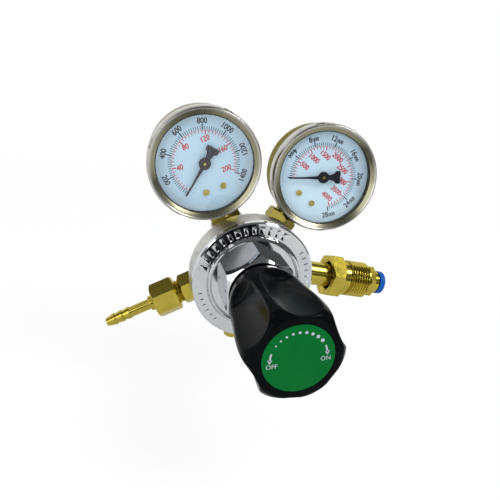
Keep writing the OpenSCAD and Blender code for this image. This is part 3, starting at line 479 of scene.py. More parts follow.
# %% [markdown]
# The brass fittings are turned from bar and left bare, so they are olive yellow with a
# fine lathe grain. A thin lacquer keeps them from tarnishing, and its white highlight lies
# over the yellow one. Each port has its own brass, because the grain runs round that port.

# %% Brass
brass_clean = (0.54, 0.44, 0.055)
brass_dull = (0.43, 0.34, 0.040)
brass_bright = (0.72, 0.62, 0.15)


def brass(name, where, rings=0.16, shade_dim=1.0):
    """Turned brass with its grain round z of the place; a last value below 1 darkens it as painted shade.
    """
    clean, dull, bright = (tuple(value * shade_dim for value in tone)
                           for tone in (brass_clean, brass_dull, brass_bright))
    # The bright brass on the bevels is wear and a painted highlight.
    return metal(name, where, clean, dull, 0.13, 0.24, rings, wear_and_highlight=bright, lacquer=0.4,
                 slant=(0.86, 0.78, 0.45))


inlet_brass = brass("brass_inlet", inlet_place)
outlet_brass = brass("brass_outlet", outlet_place)
relief_brass = brass("brass_relief", relief_place)
axial_brass = brass("brass_axial", body_place)

# %% [markdown]
# The bonnet is bright chrome and the body behind it has a satin nickel plate over a
# forged surface, which is slightly grainy. The gauges' rims are a warmer satin plate.

# %% Plated metals
bonnet_chrome = metal("bonnet_chrome", body_place, (0.64, 0.66, 0.68), (0.57, 0.59, 0.61),
                      0.04, 0.10, rings=0.04, blotches=45)
# The nickel's pale colour on the bevels is wear and a painted highlight.
body_nickel = metal("body_nickel", body_place, (0.60, 0.60, 0.57), (0.47, 0.47, 0.44),
                    0.34, 0.50, rings=0.5, fineness=1800, wear_and_highlight=(0.80, 0.80, 0.78))
steel = metal("spring_steel", body_place, (0.56, 0.57, 0.59), (0.42, 0.43, 0.45), 0.22, 0.38, rings=0.2)
bronze = metal("tube_bronze", body_place, (0.52, 0.29, 0.12), (0.40, 0.22, 0.10), 0.28, 0.42, rings=0.1)
sintered = metal("filter_bronze", inlet_place, (0.44, 0.35, 0.17), (0.28, 0.22, 0.11), 0.6, 0.8, rings=1.0,
                 fineness=5000)


# %% [markdown]
# Plastics and rubber reflect little, so their look is in the highlight. Soft blotches
# drive the roughness and a fine noise a very shallow bump, as a moulding tool leaves it.

# %% A moulded finish
def moulded(name, where, colour, tint, smooth, rough, grain=0.1, shine=0.5):
    """A plastic, rubber or paint finish with a moulded grain."""
    material, tree, shader = new_material(name, Specular_IOR_Level=shine)
    spot = own_coordinates(tree, where)
    touched = placed(tree, smudges, Vector=spot, Size=60)
    set_inputs(shader, {"Base Color": mixed(tree, colour, tint, touched)})
    fine = added(tree, "TexNoise", Vector=spot, Scale=1500)
    surfaced(tree, shader, touched, smooth, rough, fine, grain, 0.04)
    return material


knob_black = moulded("knob_black", body_place, (0.0016, 0.0020, 0.0024), (0.0028, 0.0032, 0.0038),
                     0.13, 0.20, grain=0.07, shine=0.035)
rubber_black = moulded("rubber_black", body_place, (0.018, 0.018, 0.018), (0.03, 0.03, 0.03), 0.55, 0.7)
cap_blue = moulded("cap_blue", inlet_place, (0.003, 0.070, 0.33), (0.005, 0.085, 0.38), 0.34, 0.45,
                   shine=0.1)
label_green = moulded("label_green", body_place, (0.0, 0.112, 0.019), (0.001, 0.122, 0.021), 0.42, 0.52,
                      grain=0.05, shine=0.04)
print_grey = moulded("print_grey", body_place, (0.36, 0.40, 0.44), (0.44, 0.48, 0.52), 0.5, 0.6)
print_black = moulded("print_black", body_place, (0.006, 0.008, 0.016), (0.010, 0.012, 0.020), 0.55, 0.65,
                      shine=0.1)
print_red = moulded("print_red", body_place, (0.50, 0.015, 0.02), (0.56, 0.022, 0.025), 0.55, 0.65,
                    shine=0.1)
pointer_black = moulded("pointer_black", body_place, (0.006, 0.008, 0.015), (0.010, 0.012, 0.020), 0.4, 0.5,
                        shine=0.12)

# %% [markdown]
# ## The knob
# The knob is a moulded cap with six finger flutes. Each flute is a cone laid along the
# side, round at its rear end and open towards the front, and the ridges between them are
# soft. A boolean would leave hard edges, so the knob is turned as a fine grid instead,
# and each point is then moved in to the flute's surface. A smooth minimum of the two
# radii rounds the edge between them.

# %% Sizes of the knob
knob_rear_z = 16.6
knob_front_z = 77.6
knob_rear_r = 17.6
knob_lobe_r = 24.2
knob_face_r = 20.7
cavity_r = 14.9
cavity_z = 57.1
label_r = 16.5
label_t = 0.7
lobes = 6
lobe_turn = math.radians(4)
flute_cut = 4.0
flute_front_r = 24.0
flute_rear_r = 13.0
flute_slope = math.radians(4.25)
flute_l = 38.0
flute_front_z = knob_front_z - 3.6
edge_blend = 1.0


# %% The surface of one flute
def flute_radius(away, height):
    """Distance from the knob's axis to a flute's surface, away radians from its middle."""
    opening = math.atan((flute_front_r - flute_rear_r) / flute_l)
    rear_z = flute_front_z - flute_l
    rear_x = knob_lobe_r - flute_cut - flute_l * math.tan(flute_slope) + flute_rear_r
    ahead = height - rear_z
    if ahead > 0:
        round_r = flute_rear_r / math.cos(opening) + ahead * math.tan(opening)
        middle = rear_x + ahead * math.tan(flute_slope + opening)
    else:
        inside = flute_rear_r ** 2 - ahead ** 2
        if inside <= 0:
            return None
        round_r = math.sqrt(inside)
        middle = rear_x
    side = middle * math.sin(away)
    if abs(side) >= round_r:
        return None
    return middle * math.cos(away) - math.sqrt(round_r ** 2 - side ** 2)


def smooth_min(a, b, blend):
    """The smaller of two lengths, rounded off where they are nearly equal."""
    close = max(blend - abs(a - b), 0) / blend
    return min(a, b) - close ** 2 * blend / 4


# %% Turn the knob and press the flutes in
grow = knob_lobe_r - knob_rear_r
side_profile = [
    (knob_rear_r - 0.9, knob_rear_z), (knob_rear_r, knob_rear_z + 0.9),
    (knob_rear_r + grow * 0.46, knob_rear_z + 13), (knob_rear_r + grow * 0.68, knob_rear_z + 28),
    (knob_rear_r + grow * 0.93, knob_front_z - 19), (knob_lobe_r, knob_front_z - 10),
    (knob_lobe_r - 0.4, knob_front_z - 5.3), (knob_lobe_r - 1.2, knob_front_z - 3.1),
    (knob_lobe_r - 2.4, knob_front_z - 1.6), (knob_face_r, knob_front_z - 0.4),
    (knob_face_r - 1.4, knob_front_z)]


def curve_through(points, spacing):
    """Points spaced along a smooth curve through the given ones."""
    walk = [points[0]] + list(points) + [points[-1]]
    result = []
    for a, b, c, d in zip(walk, walk[1:], walk[2:], walk[3:]):
        pieces = max(1, round(math.dist(b, c) / spacing))
        for i in range(pieces):
            t = i / pieces
            result.append(tuple(
                0.5 * (2 * b[k] + (c[k] - a[k]) * t + (2 * a[k] - 5 * b[k] + 4 * c[k] - d[k]) * t ** 2
                       + (3 * b[k] - a[k] - 3 * c[k] + d[k]) * t ** 3) for k in (0, 1)))
    return result + [points[-1]]


knob_outline = [(0, cavity_z), (cavity_r - 0.6, cavity_z), (cavity_r, cavity_z - 0.6)]
knob_outline += [(cavity_r, knob_rear_z + 0.8), (cavity_r + 0.8, knob_rear_z)]
knob_outline += curve_through(side_profile, 0.8)
knob_outline += [(label_r + 0.45, knob_front_z), (label_r + 0.1, knob_front_z - 0.25),
                 (label_r + 0.05, knob_front_z - label_t), (0, knob_front_z - label_t)]
knob = turned("knob_moulding", knob_outline, steps=240)
for point in knob.data.vertices:
    radius = math.hypot(point.co.x, point.co.y) / mm
    if radius < cavity_r + 1:
        continue
    turn = math.atan2(point.co.y, point.co.x) - lobe_turn
    nearest = (math.floor(turn / (2 * math.pi / lobes)) + 0.5) * 2 * math.pi / lobes
    flute = flute_radius(turn - nearest, point.co.z / mm)
    if flute is not None:
        at_radius(point, radius, smooth_min(radius, flute, edge_blend))
knob.data.transform(body_place)
stands_for("knob", knob, knob_black)
print("knob:", len(knob.data.polygons), "faces")

# %% [markdown]
# ## The knob's label
# A green film disc sits in the knob's face. It shows which way to turn: two arrows with
# OFF and ON, and a row of dots that grows with the pressure. The print is a thin raised
# film, so that it stays crisp from near by.

# %% The disc
label_rear_z, label_front_z = knob_front_z - label_t, knob_front_z + 0.05
label = turned("label_disc", eased([(0, label_rear_z), (label_r, label_rear_z),
                                    (label_r, label_front_z), (0, label_front_z)], 0.15), 96)
label.data.transform(body_place)
stands_for("knob_label", label, label_green)

# %% Print helpers
film = 0.05
print_z = knob_front_z + 0.04


def flat_text(words, tall, level, condensed=1.0, bold=0.0):
    """Raised letters tall millimetres high, centred on the z axis, as a mesh.

    Bold letters are printed in four passes, each moved by that many millimetres.
    """
    text = made(bpy.ops.object.text_add, location=(0, 0, 0))
    text.data.body = words
    text.data.size = tall / 0.7
    text.data.extrude = film / 2
    text.data.resolution_u = 3
    bpy.ops.object.convert(target="MESH")
    text = bpy.context.object
    across = [point.co.x for point in text.data.vertices]
    middle = (max(across) + min(across)) / 2
    text.data.transform(Matrix.Diagonal((condensed * mm, mm, mm, 1))
                        @ Matrix.Translation((-middle, -tall / 2, level + film / 2)))
    passes = [copied(text, "pass", shift(x * bold, y * bold, lift))
              for x, y, lift in ((1, 0.6, 0.001), (-1, 0.6, 0.002), (0, -1, 0.003)) if bold]
    return joined("text", [text] + passes) if passes else text


def width_of(text):
    """The width of a mesh along x in millimetres."""
    across = [point.co.x for point in text.data.vertices]
    return (max(across) - min(across)) / mm


def put_round(text, turn, radius, upright):
    """Turns text by the angle upright and moves it out to a radius."""
    text.data.transform(out_to(radius, turn) @ spun(upright))
    return text


def band(name, radius, width, start, end, level, steps):
    """A thin raised arc from one angle to another, in degrees."""
    inner, outer = radius - width / 2, radius + width / 2
    arc = turned(name, [(inner, 0), (outer, 0), (outer, film), (inner, film), (inner, 0)], steps,
                 end - start)
    open_mesh(arc, "SELECT")
    bpy.ops.mesh.remove_doubles(threshold=0.001 * mm)
    pick_borders()
    bpy.ops.mesh.edge_face_add()
    close_outward()
    arc.data.transform(shift(0, 0, level) @ spun(math.radians(end)))
    return arc


def disc(corners, size, radius, turn, level, heading=math.pi / 2):
    """A thin disc or triangle of that size, whose first corner points along the heading."""
    flat = made(bpy.ops.mesh.primitive_cylinder_add, vertices=corners, radius=size * mm, depth=film * mm)
    flat.data.transform(spun(heading - math.pi / 2))
    flat.data.transform(out_to(radius, turn, level + film / 2))
    return flat


# %% The print on the label
label_turn = math.radians(10)
arc_r = 12.9
marks = []
for start, end, way in ((161, 178, 1), (24, 7, -1)):
    low, high = sorted((start, end))
    marks.append(band("arrow_shaft", arc_r, 0.8, low, high, print_z, 10))
    tip = math.radians(end)
    marks.append(disc(3, 1.3, arc_r, tip, print_z, tip + way * math.pi / 2))
for step in range(9):
    marks.append(disc(24, 0.4 + 0.06 * step, arc_r, math.radians(143 - step * 13.2), print_z))
for words, turn in (("OFF", 190), ("ON", -6)):
    marks.append(put_round(flat_text(words, 2.1, print_z), math.radians(turn), 12.2, 0))
label_print = joined("label_print", marks)
label_print.data.transform(body_place @ spun(label_turn))
finish(label_print, print_grey, "knob_assembly")

# %% [markdown]
# ## The bonnet and the body
# The bonnet is the chromed front of the regulator: a ring with a raised rim, a hexagon
# and a neck. The ring carries rows of raised bars, like cast marks without any words.

# %% The bonnet, the body and the plug
dressed("bonnet", bonnet_chrome, 0.7, 4)
dressed("regulator_body", body_nickel, 0.5, 3)
dressed("rear_plug", axial_brass, 0.3)


# %% Raised bars on the ring
def bar(length, width, height, radius, turn, level=0):
    """A bar that points away from the z axis, with its middle out at a radius."""
    block = made(bpy.ops.mesh.primitive_cube_add, size=mm)
    block.data.transform(Matrix.Diagonal((length, width, height, 1)))
    block.data.transform(shift(radius, 0, level + height / 2))
    block.data.transform(spun(turn))
    return block


ring_bars = [bar(4.6, 2.2 if step % 3 else 3.4, 0.7, 30.6, math.radians(66 + step * 8.6))
             for step in range(13)]
ring_bars += [bar(2.4, 1.1, 0.6, 31.2, math.radians(38 - step * 7.0)) for step in range(9)]
ring_bars += [bar(2.4, 1.1, 0.6, 31.2, math.radians(198 + step * 7.0)) for step in range(6)]
cast_marks = joined("cast_marks", ring_bars)
rounded(cast_marks, 0.3, 2)
smooth_shading(35)
cast_marks.data.transform(body_place @ shift(0, 0, -0.15))
finish(cast_marks, bonnet_chrome, "body")

# %% [markdown]
# ## Threads
# A real thread is a helix, so it can't be turned. One tooth of its profile is screwed
# round z by the Screw modifier, the ends are cut square with bisect, the crests are
# turned down to a chamfer, and the open ends are closed on a bore.

# %% A threaded sleeve
def threaded(name, crest, depth, pitch, start, end, bore, chamfer):
    """A helical thread from start to end along z, hollow inside to the bore."""
    profile = ((depth, 0.0), (0.12 * depth, 0.40), (0, 0.46), (0, 0.54), (0.12 * depth, 0.60), (depth, 1.0))
    sleeve = wire(name, [(crest - below, start + (along - 2) * pitch) for below, along in profile])
    close_mesh()
    screw = sleeve.modifiers.new("helix", "SCREW")
    screw.axis = "Z"
    screw.screw_offset = pitch * mm
    screw.iterations = math.ceil((end - start) / pitch) + 3
    screw.steps = screw.render_steps = 72
    screw.use_merge_vertices = True
    screw.merge_threshold = 0.001 * mm
    apply_modifiers(sleeve)
    for level, upper in ((start, False), (end, True)):
        open_mesh(sleeve, "SELECT")
        bpy.ops.mesh.bisect(plane_co=(0, 0, level * mm), plane_no=(0, 0, 1), use_fill=False,
                            clear_outer=upper, clear_inner=not upper, threshold=0.001 * mm)
        close_mesh()
    for point in sleeve.data.vertices:
        radius, height = math.hypot(point.co.x, point.co.y) / mm, point.co.z / mm
        from_end = min(end - height, height - start + chamfer * 0.3)
        limit = min(crest, crest - chamfer + from_end)
        if radius > limit:
            at_radius(point, radius, limit)
    open_mesh(sleeve)
    pick_borders()
    bpy.ops.mesh.extrude_region_move(TRANSFORM_OT_translate={"value": (0, 0, 0)})
    close_mesh()
    for point in sleeve.data.vertices:
        if point.select:
            at_radius(point, math.hypot(point.co.x, point.co.y) / mm, bore)
    open_mesh(sleeve)
    pick_borders()
    bpy.ops.mesh.bridge_edge_loops()
    close_outward()
    smooth_shading(28)
    return sleeve


def kept_below(piece, where, level):
    """Cuts a piece square across its own z axis and keeps the part below the level."""
    open_mesh(piece, "SELECT")
    bpy.ops.mesh.bisect(plane_co=where @ Vector((0, 0, level * mm)), use_fill=False,
                        plane_no=where.to_3x3() @ Vector((0, 0, 1)), clear_outer=True, threshold=0.001 * mm)
    pick_borders()
    bpy.ops.mesh.bridge_edge_loops()
    close_outward()


# %% [markdown]
# ## The inlet
# The inlet side carries the loose nut that screws into the cylinder's valve. Its tube
# has a hexagonal collar and a nose that seals, under a blue dust cap.

# %% Reshaping a hexagon before its edges are rounded
def moved_points(where, change):
    """A reshape that runs change over each point, in millimetres in the piece's own place."""
    back = where.inverted()

    def reshape(piece):
        for point in piece.data.vertices:
            spot = back @ point.co / mm
            change(spot, math.hypot(spot.x, spot.y))
            point.co = where @ (spot * mm)
    return reshape


# %% [markdown]
# The nut's hexagon has a shallow bevel at its rear, as a nut turned from bar has, and a
# wide smooth neck before its thread. The node's rear bevel is pressed flatter and its
# front face is moved back, so the flats end where the neck begins.

# %% The inlet nut
nut_rear_z = 55.7
nut_front_z = 66.6
nut_neck_z = 70.1
nut_face_r = 12.6
nut_bevel_slope = 0.95 / 2.06
nut_shorter = 1.7


def nut_form(spot, radius):
    """Flattens the rear bevel of the nut and shortens its hexagon at the front."""
    if radius > 11.8 and spot.z < nut_rear_z + 4.9:
        if spot.z < nut_rear_z + 0.02:
            spot.x *= nut_face_r / radius
            spot.y *= nut_face_r / radius
        else:
            spot.z = nut_rear_z + max(radius - nut_face_r, 0.02) * nut_bevel_slope
    elif radius > 9.5 and nut_front_z - 2.6 < spot.z < nut_front_z + 0.5:
        spot.z -= nut_shorter


nut_hex = softened("inlet_nut", 0.3, 3, 20, moved_points(inlet_place, nut_form))
kept_below(nut_hex, inlet_place, nut_neck_z)
nut_thread = threaded("nut_thread", crest=11.47, depth=1.1, pitch=1.814, start=69.8, end=83.7,
                      bore=7.66, chamfer=1.0)
nut_thread.data.transform(inlet_place)
inlet_nut = joined("inlet_nut_finish", [nut_hex, nut_thread])
stands_for("inlet_nut", inlet_nut, inlet_brass)

# %% The tube, its cap and the filter
dressed("inlet_nipple", inlet_brass, 0.3, 3)
dressed("inlet_cap", cap_blue, 0.5, 3)
dressed("inlet_filter", sintered, 0.15)

# %% [markdown]
# ## The outlet
# A threaded adapter, a nut and a hose barb lead the low pressure out. Both hexagons are
# turned on their axis to where the nut came to rest when it was tightened.

# %% The outlet fittings
tightened = math.radians(24)


def hexagon_turned(least_r, least_z, wider):
    """Turns and widens what lies outside a radius, which is the hexagon alone."""
    def change(spot, radius):
        if radius > least_r and spot.z > least_z:
            turn = math.atan2(spot.y, spot.x) + tightened
            spot.x = radius * wider * math.cos(turn)
            spot.y = radius * wider * math.sin(turn)
    return moved_points(outlet_place, change)


adapter = softened("outlet_adapter", 0.3, 3, reshape=hexagon_turned(7.5, 31, 1.03))
kept_below(adapter, outlet_place, 41.2)
adapter_thread = threaded("adapter_thread", crest=7.1, depth=0.8, pitch=1.411, start=40.9, end=53.9,
                          bore=2.2, chamfer=0.8)
adapter_thread.data.transform(outlet_place)
stands_for("outlet_adapter", joined("outlet_adapter_finish", [adapter, adapter_thread]), outlet_brass)
dressed("outlet_nut", outlet_brass, 0.35, 3, reshape=hexagon_turned(8.0, 43, 1.085))
dressed("hose_barb", outlet_brass, 0.16)

# %% The relief valve
dressed("relief_body", relief_brass, 0.3, 3)
dressed("relief_cap", relief_brass, 0.25, 3)

# %% [markdown]
# ## The gauges
# Both gauges have the same case, rim and glass, and differ in their dials. The rim is
# turned from its half outline and four small pockets are pressed into its side, where a
# tool grips it. An attribute marks the pockets' floors, where the finish paints shade.

# %% Sizes of a gauge
rim_front = 18.6
window_r = 26.2
rim_r = 30.4
rim_length = 9
pocket_turn = 46
pocket_half = 5.1
mouth_r = 29.4
dial_front = 11.4

# %% The gauge's rim
ledge = rim_front - 2.5
rim_outline = eased([
    (mouth_r, ledge), (window_r, ledge), (window_r, rim_front - 1.8),
    (window_r + 2.2, rim_front - 0.5), (window_r + 2.8, rim_front), (window_r + 3.3, rim_front - 0.1),
    (rim_r - 0.25, rim_front - 1.6), (rim_r, rim_front - 2.6), (rim_r, rim_front - 5.6),
    (rim_r, rim_front - rim_length), (mouth_r, rim_front - rim_length), (mouth_r, ledge)], 0.22, 2)
gauge_rim = turned("gauge_rim", rim_outline, 144)
gauge_rim.data.transform(spun(math.radians(pocket_turn % 2.5)))


def in_pocket(centre):
    """True for the faces of the rim's side that lie in one of the four pockets."""
    turn = math.degrees(math.atan2(centre.y, centre.x))
    away = abs((turn - pocket_turn + 45) % 90 - 45)
    level = centre.z / mm - rim_front
    return away < pocket_half and -5.6 < level < -0.6 and math.hypot(centre.x, centre.y) > 29.6 * mm


pick_faces(gauge_rim, in_pocket)
bpy.ops.mesh.extrude_region_move(TRANSFORM_OT_translate={"value": (0, 0, 0)})
bpy.ops.transform.resize(value=(0.977, 0.977, 1), center_override=(0, 0, 0))
close_mesh()
pocket = gauge_rim.data.attributes.new("pocket", "FLOAT", "FACE")
pocket.data.foreach_set("value", [float(face.select) for face in gauge_rim.data.polygons])
rounded(gauge_rim, 0.18, 2, 40)
smooth_shading(35)
print("rim:", len(gauge_rim.data.polygons), "faces")

# %% [markdown]
# The rim's plate is silver. Its inner slope mirrors the dial, and that olive reflection
# is painted into its colour; the material finds the slope by its distance from the
# gauge's axis. The pockets get the same olive as painted shade. The case behind it is
# gold-coloured on the right gauge and silver on the left, as the two were plated apart.

# %% Gauge finishes
def radial_mask(tree, where, clear_r, full_r):
    """A mask that grows from 0 to 1 between two distances from the gauge's axis."""
    radius = from_axis(tree, own_coordinates(tree, where))[0]
    grow = added(tree, "MapRange", Value=radius, From_Min=clear_r * mm, From_Max=full_r * mm)
    return grow


def painted_over(tree, colour, mask):
    """Lays a colour over a finish where the mask is 1."""
    shader = tree.nodes["Principled BSDF"]
    plain = shader.inputs["Base Color"].links[0].from_socket
    set_inputs(shader, {"Base Color": mixed(tree, plain, colour, mask)})


def rim_metal(name, where):
    """Silver plate with a painted olive reflection on the inner slope and painted shade in the pockets."""
    material = metal(name, where, (0.53, 0.52, 0.48), (0.46, 0.45, 0.41), 0.24, 0.34, rings=0.15,
                     fineness=3200)
    tree = material.node_tree
    either = added(tree, "Math", "MAXIMUM", _0=radial_mask(tree, where, 28.6, 28.1),
                   _1=attribute(tree, "pocket"))
    # Olive laid over the silver: a painted reflection on the slope, painted shade in the pockets.
    painted_over(tree, (0.31, 0.30, 0.20), either)
    return material


case_metals = {
    "low": metal("case_low", gauges["low"], (0.44, 0.41, 0.37), (0.36, 0.31, 0.27), 0.26, 0.40,
                 rings=0.3, slant=(0.80, 0.76, 0.70)),
    "high": metal("case_high", gauges["high"], (0.28, 0.26, 0.14), (0.23, 0.21, 0.10), 0.26, 0.40,
                  rings=0.3, slant=(0.50, 0.48, 0.30))}


# %% Glass: a clear sheet whose reflection grows towards the edge of sight
def clear_glass(name):
    """A mirror film that is nearly all see-through face on, and the same from both sides."""
    material, tree, shader = new_material(
        name, Base_Color=(0.93, 0.96, 0.97, 1), Metallic=1, Roughness=0.03)
    slant = added(tree, "LayerWeight", Blend=0.5).outputs["Facing"]
    steep = added(tree, "Math", "POWER", _0=slant, _1=5)
    mirror = added(tree, "Math", "MULTIPLY_ADD", _0=steep, _1=0.9, _2=0.035)
    set_inputs(shader, {"Alpha": mirror})
    return material


glass = clear_glass("gauge_glass")


# %% The dial's card: pale blue, paler outside the scale, where a painted highlight lies along the edge
def dial_card(name, where, card_blue):
    """Printed card with a faint grain and a paler border, which is a painted highlight."""
    tint = tuple(value * 1.04 for value in card_blue)
    material = moulded(name, where, card_blue, tint, 0.5, 0.6, grain=0.05, shine=0.3)
    tree = material.node_tree
    # The paler border is a painted highlight along the dial's edge.
    painted_over(tree, (0.55, 0.73, 0.85), radial_mask(tree, where, 23.8, 24.6))
    return material


# %% The seal's lip, a black line round the glass: a rubber lip that also stands for the shade in the gap
# The black lip is partly the real seal and partly painted shade in the gap round the glass.
seat = ledge + 0.01
seal_lip_shade_line = turned("seal_lip_shade_line", eased([
    (25.75, seat), (26.15, seat), (26.15, rim_front - 1.95), (25.9, rim_front - 1.95),
    (25.75, rim_front - 2.2), (25.75, seat)], 0.08, 2), 144)

# %% The parts both gauges share
# The sockets sit in the shade of the gauges, so their brass is darkened as painted shade, more on the high
# gauge.
socket_painted_shade = {"low": 0.60, "high": 0.36}
dial_blues = {"low": (0.46, 0.65, 0.78), "high": (0.54, 0.72, 0.84)}
for side, where in gauges.items():
    rim = copied(gauge_rim, side + "_rim_finish", where)
    stands_for(side + "_bezel", rim, rim_metal("rim_" + side, where))
    finish(copied(seal_lip_shade_line, side + "_seal_lip_shade_line", where), rubber_black, "body")
    dressed(side + "_case", case_metals[side], 0.3)
    dressed(side + "_lens", glass, 0.15)
    dressed(side + "_dial", dial_card("dial_" + side, where, dial_blues[side]), 0.06, 1)
    dressed(side + "_socket", brass("socket_" + side, where, 0.2, socket_painted_shade[side]), 0.3, 3)
    dressed(side + "_dial_screws", brass("screw_" + side, where, 0.1), 0.1)
    dressed(side + "_pointer", pointer_black, 0.07, 1)
bpy.data.objects.remove(gauge_rim)
bpy.data.objects.remove(seal_lip_shade_line)

# %% [markdown]
# ## The dials' print
# Each dial has a black outer scale and a red inner one, with plain numbers only. The
# pointer turns 258 degrees over the full scale, so a reading is an angle, and the ticks
# and numbers follow from it.

# %% Ticks and numbers
sweep = 258.0
zero_turn = 219.0


def reading_turn(share):
    """The angle on the dial, in radians, for a share of the full scale."""
    return math.radians(zero_turn - sweep * share)


def number(value, tall, level, small_zeros):
    """A number as printed: on long ones the last three zeros are smaller."""
    if not small_zeros:
        return flat_text(str(value), tall, level, 0.84, 0.10)
    first = flat_text(str(value // 1000), tall, level, 0.84, 0.10)
    zeros = flat_text("000", tall * 0.66, level, 0.88, 0.085)
    whole = width_of(first) + width_of(zeros) + 0.25
    first.data.transform(shift((width_of(first) - whole) / 2, 0, 0))
    zeros.data.transform(shift((whole - width_of(zeros)) / 2, -0.17 * tall, 0))
    return joined("number", [first, zeros])


def ticks(count, minor, share_each, rows, level):
    """All the ticks of a scale: every minor-th one is long and thick."""
    lines = []
    for i in range(count * minor + 1):
        inner, outer, width = rows[1] if i % minor == 0 else rows[0]
        turn = reading_turn(i / minor * share_each)
        lines.append(bar(outer - inner, width, film, (inner + outer) / 2, turn, level))
    return lines


scale_level = dial_front + 0.01
outer_rows = ((17.6, 19.4, 0.34), (17.6, 20.4, 0.62))
inner_rows = ((15.8, 17.2, 0.32), (15.1, 17.2, 0.52))
full_kpa = {"low": 1400, "high": 28000}
kpa_per_psi = 6.895
outer_numbers_r = 22.2
inner_numbers_r = 15.2
outer_steps = {"low": (200, 10), "high": (4000, 10)}
inner_steps = {"low": (40, 8), "high": (500, 5)}
for side, full in full_kpa.items():
    step, minor = outer_steps[side]
    count = full // step
    pieces = ticks(count, minor, step / full, outer_rows, scale_level)
    for i in range(1, count + 1):
        turn = reading_turn(i * step / full)
        outward = math.sin(turn) > 0.1
        text = number(i * step, 3.0, scale_level, side == "high")
        upright = turn - math.pi / 2 if outward else turn + math.pi / 2
        pieces.append(put_round(text, turn, outer_numbers_r, upright))
    black = joined(side + "_outer_scale", pieces)
    step, minor = inner_steps[side]
    share = step * kpa_per_psi / full
    count = int(1 / share)
    pieces = ticks(count, minor, share, inner_rows, scale_level)
    pieces.append(band("ring_line", 17.25, 0.2, zero_turn - sweep, zero_turn, scale_level, 120))
    for i in range(1, count + 1):
        turn = reading_turn(i * share)
        text = number(i * step, 2.9, scale_level, False)
        room = width_of(text) / 2 * abs(math.cos(turn)) + 1.3 * abs(math.sin(turn))
        pieces.append(put_round(text, turn, inner_numbers_r - room, 0))
    red = joined(side + "_inner_scale", pieces)
    for piece, ink in ((black, print_black), (red, print_red)):
        piece.data.transform(gauges[side])
        finish(piece, ink, "body")
print("dial print done")

# %% [markdown]
# ## The hidden works
# The pieces inside keep the frame's own shapes, because they are only seen in a cutaway,
# and each gets its finish here.

# %% Finishes for the remaining nodes
inside = {"steel": steel, "rubber": rubber_black, "bronze": bronze, "brass": axial_brass}
for node, piece in frame["nodes"].items():
    if slot_of[node] in inside:
        piece.data.materials.clear()
        piece.data.materials.append(inside[slot_of[node]])

# %% [markdown]
# ## The springs
# Each spring stands between two bodies. A welded copy of it is given the steel finish and
# baked in place, and the frame's node is hidden; the table names the moving piece and the
# held and moved ends of each.

# %% Three spring copies
spring_ends = {
    "range_spring": ("spring_carrier", (-94.87, -21.5, 6.63), (-94.87, -45.5, 6.63)),
    "valve_spring": ("valve_train", (-94.87, 11.2, 6.63), (-94.87, 3.0, 6.63)),
    "relief_spring": ("relief_poppet", (-94.87, 0, -41.0), (-94.87, 0, -29.4)),
}
for node, (mover, held, moved) in spring_ends.items():
    spring = copied(frame["nodes"][node], node + "_coils")
    open_mesh(spring, "SELECT")
    bpy.ops.mesh.remove_doubles(threshold=0.001 * mm)
    close_mesh()
    spring.data.materials.clear()
    spring.data.materials.append(steel)
    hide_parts(node)
    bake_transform(spring)
print("blended springs:", len(spring_ends))

# %% [markdown]
# ## The stage
# A pale floor, a white surround and two soft lamps. The surround is white only for
# the camera and for reflections, so the object isn't lit by it. Cards that only
# reflections see, most of them dark, give the chrome its contrast.

# %% The surround
scene = bpy.context.scene
world = scene.world or bpy.data.worlds.new("surround")
scene.world = world
world.use_nodes = True
tree = world.node_tree
tree.nodes.clear()
seen = added(tree, "LightPath").outputs
either = added(tree, "Math", "ADD", _0=seen["Is Camera Ray"], _1=seen["Is Glossy Ray"])
clear_too = added(tree, "Math", "ADD", _0=either, _1=seen["Is Transmission Ray"])
either.use_clamp = True
clear_too.use_clamp = True
room = added(tree, "Background", Color=(0.78, 0.79, 0.81, 1))
white = added(tree, "Background", Color=(1, 1, 1, 1))
choose = added(tree, "MixShader", Fac=clear_too, _1=room, _2=white)
added(tree, "OutputWorld", Surface=choose)

# %% [markdown]
# The floor is matt paper, and it catches the shadow. The camera and the reflections see
# it glow as well, more so far away, where it meets the surround. Reflections see it a
# little darker close to the object, as painted shade.

# %% The floor
floor = made(bpy.ops.mesh.primitive_circle_add, vertices=96, radius=4, fill_type="NGON",
             location=(-0.09, 0, -0.075))
floor.name = "floor"
paper, tree, shader = new_material(
    "paper_white", Base_Color=(0.92, 0.92, 0.92, 1), Roughness=0.9, Specular_IOR_Level=0.1)
seen = added(tree, "LightPath").outputs
away = added(tree, "VectorMath", "LENGTH", _0=added(tree, "TexCoord").outputs["Object"]).outputs["Value"]
far = added(tree, "MapRange", Value=away, From_Min=0.25, From_Max=0.75, To_Min=0.84, To_Max=1.0)
# Painted shade: reflections see the floor's glow dimmed near the object.
near = added(tree, "MapRange", Value=away, From_Min=0.08, From_Max=0.6, To_Min=0.30, To_Max=0.0)
dim = added(tree, "Math", "MULTIPLY", _0=near, _1=seen["Is Glossy Ray"])
strength = added(tree, "Math", "SUBTRACT", _0=1.0, _1=dim)
glow = added(tree, "Emission", Color=(1, 1, 1, 1), Strength=strength)
either = added(tree, "Math", "ADD", _0=seen["Is Camera Ray"], _1=seen["Is Glossy Ray"])
either.use_clamp = True
share = added(tree, "Math", "MULTIPLY", _0=either, _1=far)
blend = added(tree, "MixShader", Fac=share, _1=shader, _2=glow)
set_inputs(tree.nodes["Material Output"], {"Surface": blend})
floor.data.materials.append(paper)


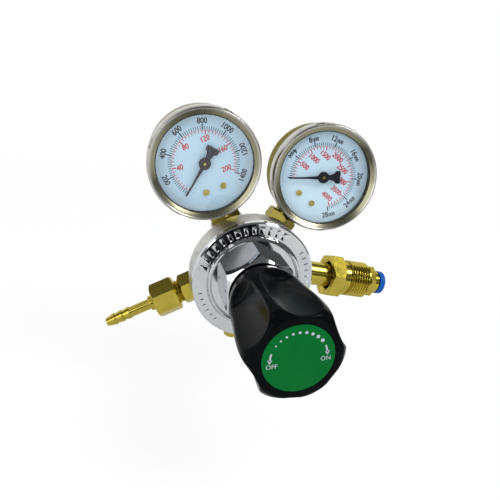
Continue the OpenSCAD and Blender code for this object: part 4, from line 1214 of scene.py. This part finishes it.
# %% Lamps
def lamp(name, place_mm, size, watts, aim_mm=(-90, -30, 10)):
    """A square area lamp aimed at a point, with places in millimetres."""
    spot = Vector(place_mm) * mm
    bpy.ops.object.light_add(type="AREA", location=spot)
    light = bpy.context.object
    light.name = name
    light.rotation_euler = (Vector(aim_mm) * mm - spot).to_track_quat("-Z", "Y").to_euler()
    light.data.size = size * mm
    light.data.energy = watts


lamp("key", (400, -400, 850), 400, 5.5)
lamp("fill", (-900, -700, 300), 700, 3)


# %% Cards for the chrome
def grey_card(name, corner_mm, wide_mm, tall_mm, level):
    """A grey sheet that only reflections see, with its own level of brightness."""
    sheet = made(bpy.ops.mesh.primitive_plane_add, size=1)
    sheet.name = name
    across, up = Vector(wide_mm) * mm, Vector(tall_mm) * mm
    middle = Vector(corner_mm) * mm + (across + up) / 2
    sheet.data.transform(place(across, up, across.cross(up).normalized() * mm, middle))
    sheet.visible_camera = False
    sheet.visible_diffuse = False
    sheet.visible_shadow = False
    sheet.visible_transmission = False
    card_grey = new_material(name, Base_Color=(0, 0, 0, 1), Specular_IOR_Level=0,
                             Emission_Color=(1, 1, 1, 1), Emission_Strength=level)[0]
    sheet.data.materials.append(card_grey)


grey_card("card_front", (-2500, -1500, -60), (5000, 0, 0), (0, 0, 1900), 0.12)
grey_card("card_over", (-2500, -1500, 1300), (5000, 0, 0), (0, 2400, 0), 0.14)
grey_card("card_over_bright", (520, -600, 1280), (560, 0, 0), (0, 760, 0), 0.30)
grey_card("card_over_left", (-1450, -650, 1280), (420, 0, 0), (0, 900, 0), 1.0)
grey_card("card_strip", (-1500, -1490, 560), (3000, 0, 0), (0, 0, 130), 0.9)
grey_card("card_left", (-1700, 300, 150), (0, -1800, 0), (0, 0, 1150), 0.16)
grey_card("card_right", (1700, -1500, 150), (0, 1800, 0), (0, 0, 1150), 0.16)

# %% Camera
bpy.ops.object.camera_add(location=Vector((-178.31, -273.68, 115.95)) * mm)
camera = bpy.context.object
look = Vector((0.28295, 0.90036, -0.33058)).to_track_quat("-Z", "Y")
camera.rotation_mode = "QUATERNION"
camera.rotation_quaternion = look @ Quaternion((0, 0, 1), math.radians(10.67))
camera.data.lens = 36
camera.data.sensor_width = 36
camera.data.clip_start = 0.01
scene.camera = camera
scene.view_settings.view_transform = "Standard"
